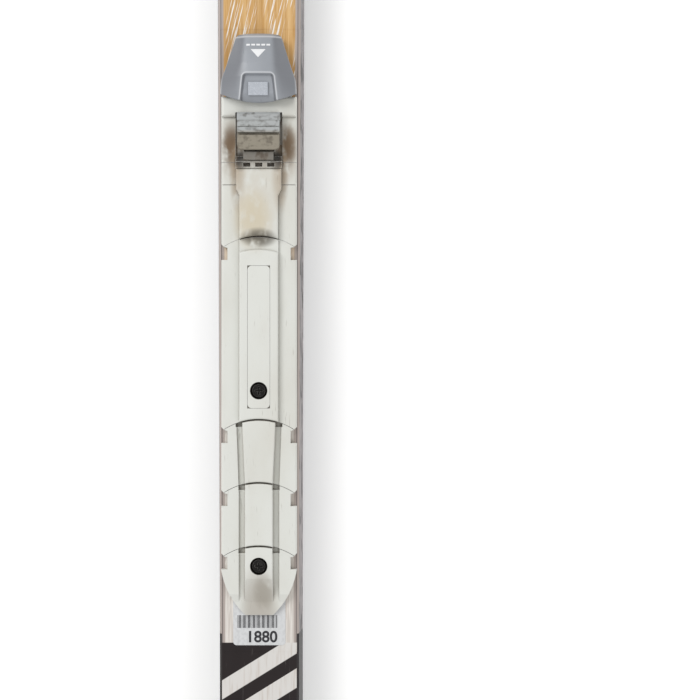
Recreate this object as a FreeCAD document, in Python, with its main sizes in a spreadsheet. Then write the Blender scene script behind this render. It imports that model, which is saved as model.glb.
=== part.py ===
"""Cross country ski with an automatic touring binding.

The ski lies along Y with its tip at +Y, +X to the right and +Z up. The origin is
under the middle of its length, on the surface that it stands on. The binding's
pieces are drawn from the axis of the boot's toe bar, on the ski's flat deck, and
are placed there as a whole: +Y is towards the tip.
"""
import FreeCAD, Part
import math
import os
import Sketcher

V = FreeCAD.Vector
BEYOND = 5.0  # how far a cutting outline reaches past what it cuts

# name, millimetres, what it is
SIZES = [
    ("ski_length", 1880.0, "tip to tail, straight along the ski"),
    ("shovel_width", 60.0, "widest place in front, at the tip's contact line"),
    ("waist_width", 51.6, "narrowest place"),
    ("tail_width", 56.0, "widest place behind, at the tail's contact line"),
    ("waist_behind", 330.0, "waist, behind the toe bar"),
    ("deck_height", 42.0, "flat deck under the binding, above the ground"),
    ("camber_height", 18.0, "free gap under the middle of the ski"),
    ("tip_length", 175.0, "upturned length in front"),
    ("tip_rise", 62.0, "height of the sole at the very tip"),
    ("tail_length", 50.0, "upturned length behind"),
    ("tail_rise", 9.0, "height of the sole at the very tail"),
    ("tip_thickness", 7.0, "ski's thickness at the tip"),
    ("tail_thickness", 8.0, "ski's thickness at the tail"),
    ("contact_thickness", 10.0, "ski's thickness at both contact lines"),
    ("tip_radius", 19.0, "rounding of the tip seen from above"),
    ("tail_radius", 8.0, "rounding of the tail's corners"),
    ("flank_inset", 3.0, "how far each flank leans in from sole to deck"),
    ("edge_height", 2.2, "upright foot of the flank"),
    ("shoulder_height", 1.6, "bevel between flank and deck"),
    ("base_thickness", 1.2, "sole"),
    ("laminate_thickness", 0.8, "each glass fibre layer"),
    ("cap_thickness", 1.2, "cap"),
    ("plate_thickness", 1.5, "reinforcement under the binding"),
    ("groove_width", 8.0, "groove along the sole"),
    ("groove_depth", 0.7, "groove along the sole"),
    ("tip_spacer_length", 130.0, "filler in front of the core"),
    ("tail_spacer_length", 45.0, "filler behind the core"),
    ("toe_bar_place", -20.0, "toe bar's axis, from the middle of the ski"),
    ("toe_bar_height", 8.2, "toe bar's axis, above the deck"),
    ("toe_bar_radius", 2.0, "boot's toe bar"),
    ("jaw_clearance", 0.1, "between the toe bar and both jaws"),
    ("running_gap", 0.3, "between a moving piece and its neighbours"),
    ("seam_gap", 0.15, "between two fixed covers"),
    ("floor_thickness", 1.2, "floor of the toe housing"),
    ("binding_width", 46.0, "every base plate of the binding"),
    ("flank_height", 5.4, "plates beside the ridge"),
    ("well_width", 28.4, "well for the bumper and the jaws"),
    ("well_length", 28.0, "well, from the toe bar forward"),
    ("housing_length", 73.4, "housing, from the toe bar forward"),
    ("crossbar_height", 8.6, "bar between the well and the lid"),
    ("lid_length", 75.7, "lid's front edge, from the toe bar"),
    ("lid_shoulder", 48.6, "where the lid reaches its full width"),
    ("lid_corner", 38.7, "lid's rear corners"),
    ("lid_rear", 33.2, "middle of the lid's curved rear edge"),
    ("lid_width", 46.0, "lid at its rear corners"),
    ("lid_nose_width", 26.4, "lid at its front edge"),
    ("lid_height", 20.0, "lid's highest place"),
    ("lid_wall", 1.7, "lid's shell"),
    ("plateau_width", 20.8, "raised middle of the lid"),
    ("lid_pin_place", 68.4, "lid's hinge axis, from the toe bar"),
    ("lid_pin_height", 5.0, "lid's hinge axis, above the deck"),
    ("pin_radius", 1.5, "lid's hinge pin"),
    ("slider_thickness", 1.5, "steel strip"),
    ("slider_width", 14.0, "steel strip"),
    ("slider_length", 50.5, "steel strip's front end, from the toe bar"),
    ("ledge_height", 3.3, "seat of the bumper's steel cover in the well"),
    ("slider_travel", 3.4, "jaw's stroke towards the tip"),
    ("jaw_width", 18.0, "both jaws"),
    ("spring_radius", 2.9, "spring's outer radius"),
    ("wire_radius", 0.4, "spring's wire"),
    ("spring_spread", 4.2, "each spring's axis, from the middle"),
    ("spring_turns", 7.0, "turns of a spring"),
    ("bumper_height", 16.6, "top of the rubber bumper"),
    ("bumper_front", 22.4, "front of the bumper, from the toe bar"),
    ("cover_width", 27.6, "front ridge at its wide end"),
    ("ridge_width", 23.6, "guide ridge"),
    ("ridge_height", 10.0, "guide ridge"),
    ("cover_front", 6.1, "front ridge's wide end, behind the toe bar"),
    ("cover_rear", 49.0, "front ridge's rear end, behind the toe bar"),
    ("cover_height", 10.4, "front ridge"),
    ("nose_rise", 6.4, "how far each plate's nose is rounded forward"),
    ("nose_width", 43.0, "each plate's rounded nose"),
    ("mid_front", 47.1, "middle plate's nose, behind the toe bar"),
    ("mid_rear", 158.6, "joint behind the middle plate"),
    ("insert_width", 13.5, "panel in the middle ridge"),
    ("heel_ridge_width", 16.9, "ridge under the heel"),
    ("heel_groove_width", 3.9, "groove beside the heel ridge"),
    ("notch_length", 3.6, "notch where a joint crosses the heel groove"),
    ("heel_height", 9.4, "ridge under the heel"),
    ("first_seam", 197.0, "first joint under the heel, behind the toe bar"),
    ("second_seam", 235.5, "second joint under the heel"),
    ("binding_rear", 278.0, "end of the binding, behind the toe bar"),
    ("tail_end_width", 17.0, "flat end of the last plate"),
    ("mid_screw", 141.0, "screw in the middle plate, behind the toe bar"),
    ("heel_screw", 247.6, "screw in the last plate, behind the toe bar"),
    ("front_screw", 45.5, "two screws under the lid, from the toe bar"),
    ("screw_spread", 14.0, "each of those two, from the middle"),
    ("screw_head_radius", 5.0, "screw"),
    ("screw_head_height", 2.6, "screw"),
    ("screw_radius", 2.75, "screw's shank"),
    ("screw_length", 17.0, "screw's shank"),
    ("label_width", 32.0, "paper label"),
    ("label_thickness", 0.15, "paper label"),
    ("label_rounding", 2.2, "paper label's corners"),
    ("label_front", 257.0, "label's front end, behind the toe bar"),
    ("label_rear", 296.8, "label's rear end, behind the toe bar"),
]


class Size:
    """A length that knows both its value and the spreadsheet text it comes from."""

    def __init__(self, value, text):
        self.value = value
        self.text = text

    def joined(self, other, sign, value):
        return Size(value, f"({self.text} {sign} {text_of(other)})")

    def __add__(self, other):
        return self.joined(other, "+", self.value + value_of(other))

    def __sub__(self, other):
        return self.joined(other, "-", self.value - value_of(other))

    def __mul__(self, other):
        return self.joined(other, "*", self.value * value_of(other))

    def __truediv__(self, other):
        return self.joined(other, "/", self.value / value_of(other))

    def __neg__(self):
        return Size(-self.value, f"(0 - {self.text})")

    def __radd__(self, other):
        return self + other

    def __rsub__(self, other):
        return -self + other

    def __rmul__(self, other):
        return self * other


def value_of(size):
    """The number behind a size, or the number itself."""
    return size.value if isinstance(size, Size) else float(size)


def text_of(size):
    """The expression's text for a size or a number."""
    return size.text if isinstance(size, Size) else f"{float(size):.6g}"


class Sizes:
    """The spreadsheet, with one attribute for each of its named sizes."""

    def __init__(self, doc):
        sheet = doc.addObject("Spreadsheet::Sheet", "Sizes")
        for row, (name, number, note) in enumerate(SIZES, start=1):
            sheet.set(f"A{row}", name)
            sheet.set(f"B{row}", str(number))
            sheet.set(f"C{row}", note)
            sheet.setAlias(f"B{row}", name)
            setattr(self, name, Size(number, f"Sizes.{name}"))
        doc.recompute()


doc = FreeCAD.newDocument("CrossCountrySki")
S = Sizes(doc)


# ---------------------------------------------------------------- drawing helpers


def bind(item, field, size):
    """Tie one property of an object to the spreadsheet."""
    if isinstance(size, Size):
        item.setExpression(field, size.text)
    else:
        item.setExpression(field, text_of(size))


def place(item, x=0.0, y=0.0, z=0.0):
    """Tie an object's place to the spreadsheet."""
    bind(item, "Placement.Base.x", x)
    bind(item, "Placement.Base.y", y)
    bind(item, "Placement.Base.z", z)


def new_body(name):
    """Adds an empty body with a name and a label."""
    body = doc.addObject("PartDesign::Body", name)
    body.Label = name
    return body


def binding_body(name):
    """A body that is drawn from the toe bar's axis, on the deck."""
    body = new_body(name)
    place(body, y=S.toe_bar_place, z=S.deck_height)
    return body


def new_sketch(body, plane, at=0.0):
    """An empty sketch on one of the body's planes, moved `at` along its normal."""
    sketch = body.newObject("Sketcher::SketchObject", "Outline")
    origin_plane = next(f for f in body.Origin.OriginFeatures if f.Role == f"{plane}_Plane")
    sketch.AttachmentSupport = (origin_plane, [""])
    sketch.MapMode = "FlatFace"
    if value_of(at):
        bind(sketch, "AttachmentOffset.Base.z", at)
    return sketch


def fix_point(sketch, edge, end, x, y):
    """Hold a point of the sketch at the place that the spreadsheet gives."""
    for kind, size in (("DistanceX", x), ("DistanceY", y)):
        number = sketch.addConstraint(Sketcher.Constraint(kind, -1, 1, edge, end, value_of(size)))
        if isinstance(size, Size):
            sketch.setExpression(f"Constraints[{number}]", size.text)


def outline(body, plane, corners, at=0.0):
    """A closed outline. A corner is (x, y), or (x, y, bulge) where the edge after it is
    an arc that rises by `bulge` to the right-hand side of its chord."""
    sketch = new_sketch(body, plane, at)
    count = len(corners)
    for number, corner in enumerate(corners):
        after = corners[(number + 1) % count]
        start = V(value_of(corner[0]), value_of(corner[1]), 0)
        end = V(value_of(after[0]), value_of(after[1]), 0)
        if len(corner) == 2:
            sketch.addGeometry(Part.LineSegment(start, end), False)
            continue
        side = V(end.y - start.y, start.x - end.x, 0).normalize()
        crown = (start + end) / 2 + side * value_of(corner[2])
        if turns_left(corner):
            sketch.addGeometry(Part.Arc(start, crown, end), False)
        else:
            sketch.addGeometry(Part.Arc(end, crown, start), False)
    for number, corner in enumerate(corners):
        following = (number + 1) % count
        after = corners[following]
        first, last = (1, 2) if turns_left(corner) else (2, 1)
        next_first = 1 if turns_left(after) else 2
        sketch.addConstraint(
            Sketcher.Constraint("Coincident", number, last, following, next_first))
        fix_point(sketch, number, first, corner[0], corner[1])
        if len(corner) == 3:
            fix_radius(sketch, number, arc_radius(corner, after))
    return sketch


def turns_left(corner):
    """Is the edge after this corner a line or a counter-clockwise arc?

    A sketch keeps every arc counter-clockwise, so one that turns right is drawn backwards.
    """
    return len(corner) == 2 or value_of(corner[2]) > 0.0


def arc_radius(corner, after):
    """Radius of the arc that rises by the corner's bulge over its chord."""
    across = after[0] - corner[0]
    along = after[1] - corner[1]
    bulge = corner[2]
    if value_of(bulge) < 0.0:
        bulge = -bulge
    return ((across * across + along * along) / 4.0 + bulge * bulge) / (2.0 * bulge)


def fix_radius(sketch, edge, radius):
    """Sets an arc's radius from a size."""
    number = sketch.addConstraint(Sketcher.Constraint("Radius", edge, value_of(radius)))
    if isinstance(radius, Size):
        sketch.setExpression(f"Constraints[{number}]", radius.text)


def circle(body, plane, x, y, radius, at=0.0):
    """Draws a round outline on one of the body's planes."""
    sketch = new_sketch(body, plane, at)
    centre = V(value_of(x), value_of(y), 0)
    sketch.addGeometry(Part.Circle(centre, V(0, 0, 1), value_of(radius)), False)
    fix_point(sketch, 0, 3, x, y)
    fix_radius(sketch, 0, radius)
    return sketch


def rectangle(left, bottom, right, top):
    """The four corners of an upright rectangle."""
    return [(left, bottom), (right, bottom), (right, top), (left, top)]


def mirrored(half):
    """A whole outline from its right half, given from the bottom up."""
    left = [(-x, y) for x, y in reversed(half) if value_of(x) != 0.0]
    return list(half) + left


def feature(body, kind, sketch, length, both_ways=False, reverse=False):
    """A Pad or Pocket of the sketch, its length tied to the spreadsheet."""
    item = body.newObject(f"PartDesign::{kind}", kind)
    item.Profile = sketch
    item.SideType = "Symmetric" if both_ways else "One side"
    item.Reversed = reverse
    bind(item, "Length", length)
    sketch.Visibility = False
    return item


def pad(body, sketch, length, both_ways=False, reverse=False):
    """Adds material over an outline."""
    return feature(body, "Pad", sketch, length, both_ways, reverse)


def pocket(body, sketch, length, both_ways=False, reverse=False):
    """A Pocket that has to take material away."""
    doc.recompute()
    before = body.Shape.Volume
    item = feature(body, "Pocket", sketch, length, both_ways, reverse)
    doc.recompute()
    if body.Shape.Volume >= before - 1e-6:
        raise RuntimeError(f"a pocket of {body.Label} cuts nothing")
    return item


def soften(body, kind, size, wanted):
    """Fillet or chamfer the body's edges for which `wanted(edge)` is true."""
    doc.recompute()
    base = body.Tip
    names = [f"Edge{n}" for n, edge in enumerate(base.Shape.Edges, 1) if wanted(edge)]
    if not names:
        raise RuntimeError(f"{body.Label} has no edge to soften")
    item = body.newObject(f"PartDesign::{kind}", kind)
    item.Base = (base, names)
    bind(item, "Radius" if kind == "Fillet" else "Size", size)
    doc.recompute()
    return item


def along_y(edge, height, slack=0.05):
    """Is it a straight edge along Y at this height?"""
    box = edge.BoundBox
    return box.XLength < slack and box.ZLength < slack and abs(box.ZMax - height) < slack


def level_edge(edge, height, slack=0.05):
    """Is it an edge that lies at this height?"""
    box = edge.BoundBox
    return box.ZLength < slack and abs(box.ZMax - height) < slack


def upright(edge, slack=0.05):
    """Is it an edge that stands upright?"""
    box = edge.BoundBox
    return box.XLength < slack and box.YLength < slack


def boolean(kind, name, base, tool):
    """Adds a boolean of two shapes to the document."""
    item = doc.addObject(f"Part::{kind}", name)
    item.Label = name
    item.Base = base
    item.Tool = tool
    return item


def cut(name, base, tool):
    """The first shape without the second."""
    return boolean("Cut", name, base, tool)


def common(name, base, tool):
    """What two shapes share."""
    return boolean("Common", name, base, tool)


def box(name, x, y, z, width, length, height):
    """A box from its low corner, in the ski's frame."""
    item = doc.addObject("Part::Box", name)
    place(item, x, y, z)
    bind(item, "Width", length)
    bind(item, "Length", width)
    bind(item, "Height", height)
    return item


def compound(name, links):
    """Several solids under one label."""
    item = doc.addObject("Part::Compound", name)
    item.Label = name
    item.Links = links
    return item


# ------------------------------------------------------------------- the ski's form

BEND = 1.4  # how fast the sidecut opens away from the waist
STATION_COUNT = 41  # evenly spaced cross-sections, tail and tip included


class Station:
    """One cross-section of the ski."""

    def __init__(self, y, sole, top, width):
        self.y = y
        self.sole = sole
        self.top = top
        self.width = width


def between(first, last, share):
    """The size that lies a share of the way from one to the other."""
    return first + (last - first) * round(share, 4)


def share_of(y, start, end):
    """How far y lies from start to end, from 0 to 1."""
    share = (value_of(y) - value_of(start)) / (value_of(end) - value_of(start))
    return min(max(share, 0.0), 1.0)


def ski_station(y):
    """The ski's cross-section at y, from its tail, contact lines, deck and tip."""
    tail = -S.ski_length / 2
    tip = S.ski_length / 2
    tail_contact = tail + S.tail_length
    tip_contact = tip - S.tip_length
    deck_rear = S.toe_bar_place - S.label_rear - 10.0
    deck_front = S.toe_bar_place + S.lid_length + 15.0
    waist = S.toe_bar_place - S.waist_behind

    if value_of(y) < value_of(waist):
        width = between(S.waist_width, S.tail_width, share_of(y, waist, tail_contact) ** BEND)
        width = between(width, width - 3.0, share_of(y, tail_contact, tail))
    else:
        width = between(S.waist_width, S.shovel_width, share_of(y, waist, tip_contact) ** BEND)
        width = between(width, width - 6.0, share_of(y, tip_contact, tip) ** 2)

    rear_share = share_of(y, 0.0, tail_contact)
    front_share = share_of(y, 0.0, tip_contact)
    arch = (1.0 - max(rear_share, front_share) ** 2) ** 1.5
    sole = between(0.0, S.camber_height, arch)
    fall = max(share_of(y, deck_rear, tail_contact), share_of(y, deck_front, tip_contact))
    crown = math.cos(math.pi / 2 * fall) ** 2
    top = between(S.contact_thickness, S.deck_height + 0.1, crown)
    if value_of(y) > value_of(tip_contact):
        share = share_of(y, tip_contact, tip)
        sole = S.tip_rise * round(share ** 2.1, 4)
        top = sole + between(S.contact_thickness, S.tip_thickness, share)
    if value_of(y) < value_of(tail_contact):
        share = share_of(y, tail_contact, tail)
        sole = S.tail_rise * round(share ** 1.6, 4)
        top = sole + between(S.contact_thickness, S.tail_thickness, share)
    return Station(y, sole, top, width)


def ski_stations():
    """The ski's cross-sections from tail to tip."""
    last = STATION_COUNT - 1
    return [ski_station(S.ski_length * (number / last - 0.5)) for number in range(STATION_COUNT)]


def section_loft(name, section):
    """A smooth solid through one section for each station, given bottom right first."""
    body = new_body(name)
    sketches = [outline(body, "XZ", section(station), at=-station.y) for station in STATIONS]
    loft = body.newObject("PartDesign::AdditiveLoft", "Loft")
    loft.Profile = sketches[0]
    loft.Sections = sketches[1:]
    loft.Ruled = False
    for sketch in sketches:
        sketch.Visibility = False
    return body


def outer_section(station):
    """The ski's whole cross-section at a station."""
    half = station.width / 2
    return mirrored([
        (half, station.sole),
        (half, station.sole + S.edge_height),
        (half - S.flank_inset * 0.55, station.top - S.shoulder_height),
        (half - S.flank_inset, station.top),
    ])


def inner_section(station):
    """The room inside the cap, which runs on below the base's top face."""
    half = station.width / 2
    return mirrored([
        (half - S.cap_thickness - 0.6, station.sole - 1.0),
        (half - S.flank_inset - S.cap_thickness, station.top - S.cap_thickness),
    ])


def below_section(rise):
    """Everything up to `rise` above the sole."""
    def section(station):
        half = station.width / 2 + 10.0
        return rectangle(-half, station.sole - 5.0, half, station.sole + rise)
    return section


def above_section(depth):
    """Everything from `depth` below the deck upwards."""
    def section(station):
        half = station.width / 2 + 10.0
        return rectangle(-half, station.top - depth, half, station.top + 5.0)
    return section


def groove_section(station):
    """The cross-section of the sole's groove at a station."""
    return rectangle(-S.groove_width / 2, station.sole - 5.0,
                     S.groove_width / 2, station.sole + S.groove_depth)


STATIONS = ski_stations()


# ------------------------------------------------------------------ the ski's layers


def plan_form():
    """The ski seen from above: a block as long as the ski, rounded at tip and tail."""
    body = new_body("plan_form")
    half = S.shovel_width / 2 + 5.0
    tip = S.ski_length / 2
    tail_half = S.tail_width / 2 - 1.5
    shoulder = tip - S.tip_length * 0.45
    corners = [
        (-tail_half + S.tail_radius, -tip),
        (tail_half - S.tail_radius, -tip, S.tail_radius * 0.29),
        (tail_half, -tip + S.tail_radius),
        (half, -tip + S.tail_length),
        (half, shoulder),
        (S.shovel_width / 2, shoulder, 5.0),
        (S.tip_radius * 0.55, tip - 3.0, 2.2),
        (-S.tip_radius * 0.55, tip - 3.0, 5.0),
        (-S.shovel_width / 2, shoulder),
        (-half, shoulder),
        (-half, -tip + S.tail_length),
        (-tail_half, -tip + S.tail_radius, S.tail_radius * 0.29),
    ]
    pad(body, outline(body, "XY", corners, at=-5.0), S.deck_height + S.tip_rise + 40.0)
    return body


def ski_form():
    """The outside of the ski, with the flat deck that the binding stands on."""
    loft = section_loft("outer_form", outer_section)
    shaped = common("shaped_form", loft, plan_form())
    length = S.lid_length + S.label_rear + 8.0
    deck_cutter = box("deck_cutter", -S.shovel_width, S.toe_bar_place - S.label_rear - 4.0,
                      S.deck_height, S.shovel_width * 2, length, 20.0)
    return cut("ski_form", shaped, deck_cutter)


def screw_places():
    """Each screw's x and y from the toe bar, and the height of the seat of its head."""
    return [
        (-S.screw_spread, S.front_screw, S.floor_thickness + 2.8),
        (S.screw_spread, S.front_screw, S.floor_thickness + 2.8),
        (0.0, -S.mid_screw, S.ridge_height - 1.0 - S.screw_head_height),
        (0.0, -S.heel_screw, S.heel_height - 1.0 - S.screw_head_height),
    ]


def screw_holes():
    """What the four screws take out of the ski."""
    drills = []
    for number, (x, y, seat) in enumerate(screw_places()):
        drill = doc.addObject("Part::Cylinder", f"screw_hole_{number}")
        place(drill, x, S.toe_bar_place + y, S.deck_height + seat - S.screw_length - 0.5)
        bind(drill, "Radius", S.screw_radius)
        bind(drill, "Height", S.screw_length + 6.0)
        drills.append(drill)
    return drills


def drilled(name, blank, drills):
    """The blank with every screw's hole in it, cut in one go from its finished shape."""
    doc.recompute()
    shape = blank.Shape.cut([drill.Shape for drill in drills])
    item = doc.addObject("Part::Feature", name)
    item.Label = name
    item.Shape = shape.Solids[0]
    return item


def ski_layers():
    """The ski's own pieces, each the exact rest of what its neighbours leave."""
    form = ski_form()
    holes = screw_holes()
    room = section_loft("inner_form", inner_section)
    base_space = section_loft("base_space", below_section(S.base_thickness))
    lower_space = section_loft("lower_space", below_section(S.base_thickness + S.laminate_thickness))
    upper_space = section_loft("upper_space", above_section(S.cap_thickness + S.laminate_thickness))
    groove = section_loft("groove_space", groove_section)

    base = common("base_blank", form, base_space)
    running_base = cut("running_base", base, groove)

    above_base = cut("above_base", form, base_space)
    cap_shell = drilled("cap_shell", cut("cap_blank", above_base, room), holes)

    inside = common("inside", room, above_base)
    lower_laminate = common("lower_laminate", inside, lower_space)
    above_lower = cut("above_lower", inside, lower_space)
    upper_laminate = drilled("upper_laminate", common("upper_blank", above_lower, upper_space), holes)
    filling = cut("filling", above_lower, upper_space)

    plate_box = box("plate_box", -S.shovel_width, S.toe_bar_place - S.heel_screw - 20.0,
                    S.deck_height - S.cap_thickness - S.laminate_thickness - S.plate_thickness,
                    S.shovel_width * 2, S.lid_length + S.heel_screw + 20.0, 20.0)
    mounting_plate = drilled("mounting_plate", common("plate_blank", filling, plate_box), holes)

    half = S.ski_length / 2
    tip_box = box("tip_box", -S.shovel_width, half - S.tip_spacer_length, -5.0,
                  S.shovel_width * 2, S.tip_spacer_length + 10.0, 200.0)
    tail_box = box("tail_box", -S.shovel_width, -half - 10.0, -5.0,
                   S.shovel_width * 2, S.tail_spacer_length + 10.0, 200.0)
    tip_spacer = common("tip_spacer", filling, tip_box)
    tail_spacer = common("tail_spacer", filling, tail_box)
    core_blank = cut("core_blank", cut("core_part", filling, tip_box), tail_box)
    core = drilled("core", cut("core_body", core_blank, plate_box), holes)
    return [running_base, lower_laminate, core, tip_spacer, tail_spacer, mounting_plate,
            upper_laminate, cap_shell]


def size_label():
    """The paper label on the deck, which starts under the end of the binding."""
    body = binding_body("size_label")
    half = S.label_width / 2
    corners = rectangle(-half, -S.label_rear, half, -S.label_front)
    pad(body, outline(body, "XY", corners), S.label_thickness)
    soften(body, "Fillet", S.label_rounding, upright)
    return body


# --------------------------------------------------------------- the toe housing


def screw_seats(body, numbers):
    """Holes and head recesses for some of the screws."""
    for number in numbers:
        x, y, seat = screw_places()[number]
        pocket(body, circle(body, "XY", x, y, S.screw_head_radius + S.running_gap, at=seat),
               S.lid_height, reverse=True)
        pocket(body, circle(body, "XY", x, y, S.screw_radius + 0.1, at=-1.0),
               S.lid_height, reverse=True)


def toe_housing():
    """The cream base: flanks, crossbar, walls under the lid, well and slider channel."""
    body = binding_body("toe_housing")
    half = S.binding_width / 2
    rear = -S.jaw_clearance - S.toe_bar_radius
    front = S.lid_corner - 1.0
    nose = S.lid_nose_width / 2 - S.lid_wall - 0.5
    shoulder = S.lid_width / 2 - S.lid_wall - 1.3
    pad(body, outline(body, "XY", rectangle(-half, rear, half, front)), S.flank_height)
    soften(body, "Fillet", 1.6, lambda edge: along_y(edge, S.flank_height.value))
    crossbar = rectangle(-half + 0.3, S.well_length - 2.6, half - 0.3, front)
    pad(body, outline(body, "XY", crossbar), S.crossbar_height)
    soften(body, "Fillet", 1.8, lambda edge: level_edge(edge, S.crossbar_height.value))
    walls = [(-shoulder, front - 1.0), (shoulder, front - 1.0),
             (shoulder, S.lid_shoulder), (nose, S.housing_length - 0.4),
             (-nose, S.housing_length - 0.4), (-shoulder, S.lid_shoulder)]
    wall_top = S.lid_pin_height + 2.8
    pad(body, outline(body, "XY", walls), wall_top)
    soften(body, "Chamfer", 1.6, lambda edge: level_edge(edge, wall_top.value)
           and edge.BoundBox.YMax > S.lid_corner.value)
    front_slope = [(S.lid_pin_place + 1.8, wall_top),
                   (S.housing_length + 0.5, S.lid_pin_height - 1.4),
                   (S.housing_length + 0.5, S.lid_height), (S.lid_pin_place + 1.8, S.lid_height)]
    pocket(body, outline(body, "YZ", front_slope), S.binding_width, both_ways=True)
    tongue = S.well_width / 2 - 0.3
    pad(body, outline(body, "XY", rectangle(-tongue, -S.cover_front + 0.1, tongue, rear)),
        S.floor_thickness)

    well = S.well_width / 2
    pocket(body, outline(body, "XY", rectangle(-well, rear - 1.0, well, S.well_length),
                         at=S.ledge_height), S.lid_height, reverse=True)
    channel = S.slider_width / 2 + S.running_gap
    pocket(body, outline(body, "XY", rectangle(-channel, rear - 1.0, channel, S.lid_pin_place - 6.0),
                         at=S.floor_thickness), S.ledge_height - S.floor_thickness + 0.4,
           reverse=True)
    jaw_room = S.jaw_width / 2 + S.running_gap
    pocket(body, outline(body, "XY", rectangle(-jaw_room, rear - 1.0, jaw_room, jaw_reach()),
                         at=S.floor_thickness), S.lid_height, reverse=True)
    room = S.spring_spread + S.spring_radius + 0.8
    pocket(body, outline(body, "XY", rectangle(-room, front + 2.0, room, S.lid_pin_place - 6.0),
                         at=S.floor_thickness), S.lid_height, reverse=True)
    lugs = nose - 1.0
    pocket(body, outline(body, "XY", rectangle(-lugs, S.lid_pin_place - 3.7,
                                               lugs, S.lid_pin_place + 3.6),
                         at=S.floor_thickness), S.lid_height, reverse=True)
    pocket(body, circle(body, "YZ", S.lid_pin_place, S.lid_pin_height, S.pin_radius),
           S.binding_width, both_ways=True)
    screw_seats(body, (0, 1))
    return body


HOOK_BACK = 2.0  # the hook's web starts this far in front of the toe bar's axis
HOOK_FRONT = 4.6


def jaw_reach():
    """How far forward the hook gets, with its clearance."""
    return S.slider_travel + HOOK_FRONT + S.running_gap


def jaw_slider():
    """Steel strip with the hook over the toe bar, the ramp and the springs' upstand."""
    body = binding_body("jaw_slider")
    low = S.floor_thickness + 0.2
    half = S.slider_width / 2
    front = S.slider_length
    top = S.toe_bar_height + S.toe_bar_radius + S.jaw_clearance + S.slider_thickness
    pad(body, outline(body, "XY", rectangle(-half, HOOK_BACK, half, front), at=low),
        S.slider_thickness)
    hook = [(HOOK_BACK, low), (HOOK_FRONT, low), (HOOK_FRONT, top - 0.8), (HOOK_FRONT - 0.8, top),
            (-0.8, top), (-1.4, top - 0.6), (-1.4, S.toe_bar_height + 1.2),
            (0.0, S.toe_bar_height), (HOOK_BACK, S.toe_bar_height - 1.8)]
    pad(body, outline(body, "YZ", hook), S.jaw_width, both_ways=True)
    pocket(body, circle(body, "YZ", 0.0, S.toe_bar_height, S.toe_bar_radius + S.jaw_clearance),
           S.jaw_width * 2, both_ways=True)
    strip_top = low + S.slider_thickness
    upstand = rectangle(front - S.slider_thickness, low, front, strip_top + 5.6)
    pad(body, outline(body, "YZ", upstand), S.slider_width, both_ways=True)
    ramp = [(front - 8.5, strip_top - 0.2), (front - 1.0, strip_top - 0.2),
            (front - 1.0, strip_top + 5.4)]
    pad(body, outline(body, "YZ", ramp), 5.0, both_ways=True)
    return body


def fixed_jaw():
    """The seat under and behind the toe bar, with three small recesses."""
    body = binding_body("fixed_jaw")
    low = S.ledge_height
    rear = -S.cover_front + S.seam_gap
    bar = S.toe_bar_height
    profile = [(rear, low), (HOOK_BACK - 0.5, low), (HOOK_BACK - 0.5, bar - 2.0), (0.0, bar),
               (-1.5, bar + 1.3), (rear, bar + 0.5)]
    pad(body, outline(body, "YZ", profile), S.well_width - 2 * S.seam_gap, both_ways=True)
    pocket(body, circle(body, "YZ", 0.0, bar, S.toe_bar_radius + S.jaw_clearance),
           S.well_width * 2, both_ways=True)
    for side in (-1, 0, 1):
        middle = side * 7.3
        hole = rectangle(middle - 2.2, rear + 0.9, middle + 2.2, -S.toe_bar_radius - 0.6)
        pocket(body, outline(body, "XY", hole, at=bar - 3.4), 10.0, reverse=True)
    return body


def jaw_springs():
    """Two compression springs between the slider's upstand and the housing."""
    springs = []
    start = S.slider_length + 0.2
    length = S.lid_pin_place - 6.0 - start - 0.2
    for number, side in enumerate((-1, 1)):
        body = new_body(f"spring_{number}")
        place(body, S.spring_spread * side, S.toe_bar_place + start + S.wire_radius,
              S.deck_height + spring_height())
        middle = S.spring_radius - S.wire_radius
        wire = circle(body, "YZ", 0.0, middle, S.wire_radius)
        helix = body.newObject("PartDesign::AdditiveHelix", "Coil")
        helix.Profile = wire
        helix.ReferenceAxis = (wire, ["H_Axis"])
        helix.Mode = "height-turns-angle"
        bind(helix, "Height", length - 2 * S.wire_radius)
        bind(helix, "Turns", S.spring_turns)
        springs.append(body)
    return compound("jaw_springs", springs)


def spring_height():
    """The springs' axis, above the deck."""
    return S.floor_thickness + 0.3 + S.spring_radius


def spring_guides():
    """Two rods on the housing's bulkhead that keep the springs straight."""
    rods = []
    start = S.slider_length + S.slider_travel + 1.5
    for number, side in enumerate((-1, 1)):
        rod = doc.addObject("Part::Cylinder", f"guide_{number}")
        rod.Placement.Rotation = FreeCAD.Rotation(V(1, 0, 0), -90)
        place(rod, S.spring_spread * side, S.toe_bar_place + start, S.deck_height + spring_height())
        bind(rod, "Radius", S.spring_radius - S.wire_radius * 2 - 0.5)
        bind(rod, "Height", S.lid_pin_place - 6.0 - start)
        rods.append(rod)
    return compound("spring_guides", rods)


def slide_cover():
    """Thin steel sheet that keeps the slider down and carries the bumper."""
    body = binding_body("slide_cover")
    half = S.well_width / 2 - S.running_gap
    sheet = rectangle(-half, jaw_reach() + 0.5, half, S.well_length - 0.2)
    pad(body, outline(body, "XY", sheet, at=S.ledge_height), 0.6)
    return body


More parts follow.
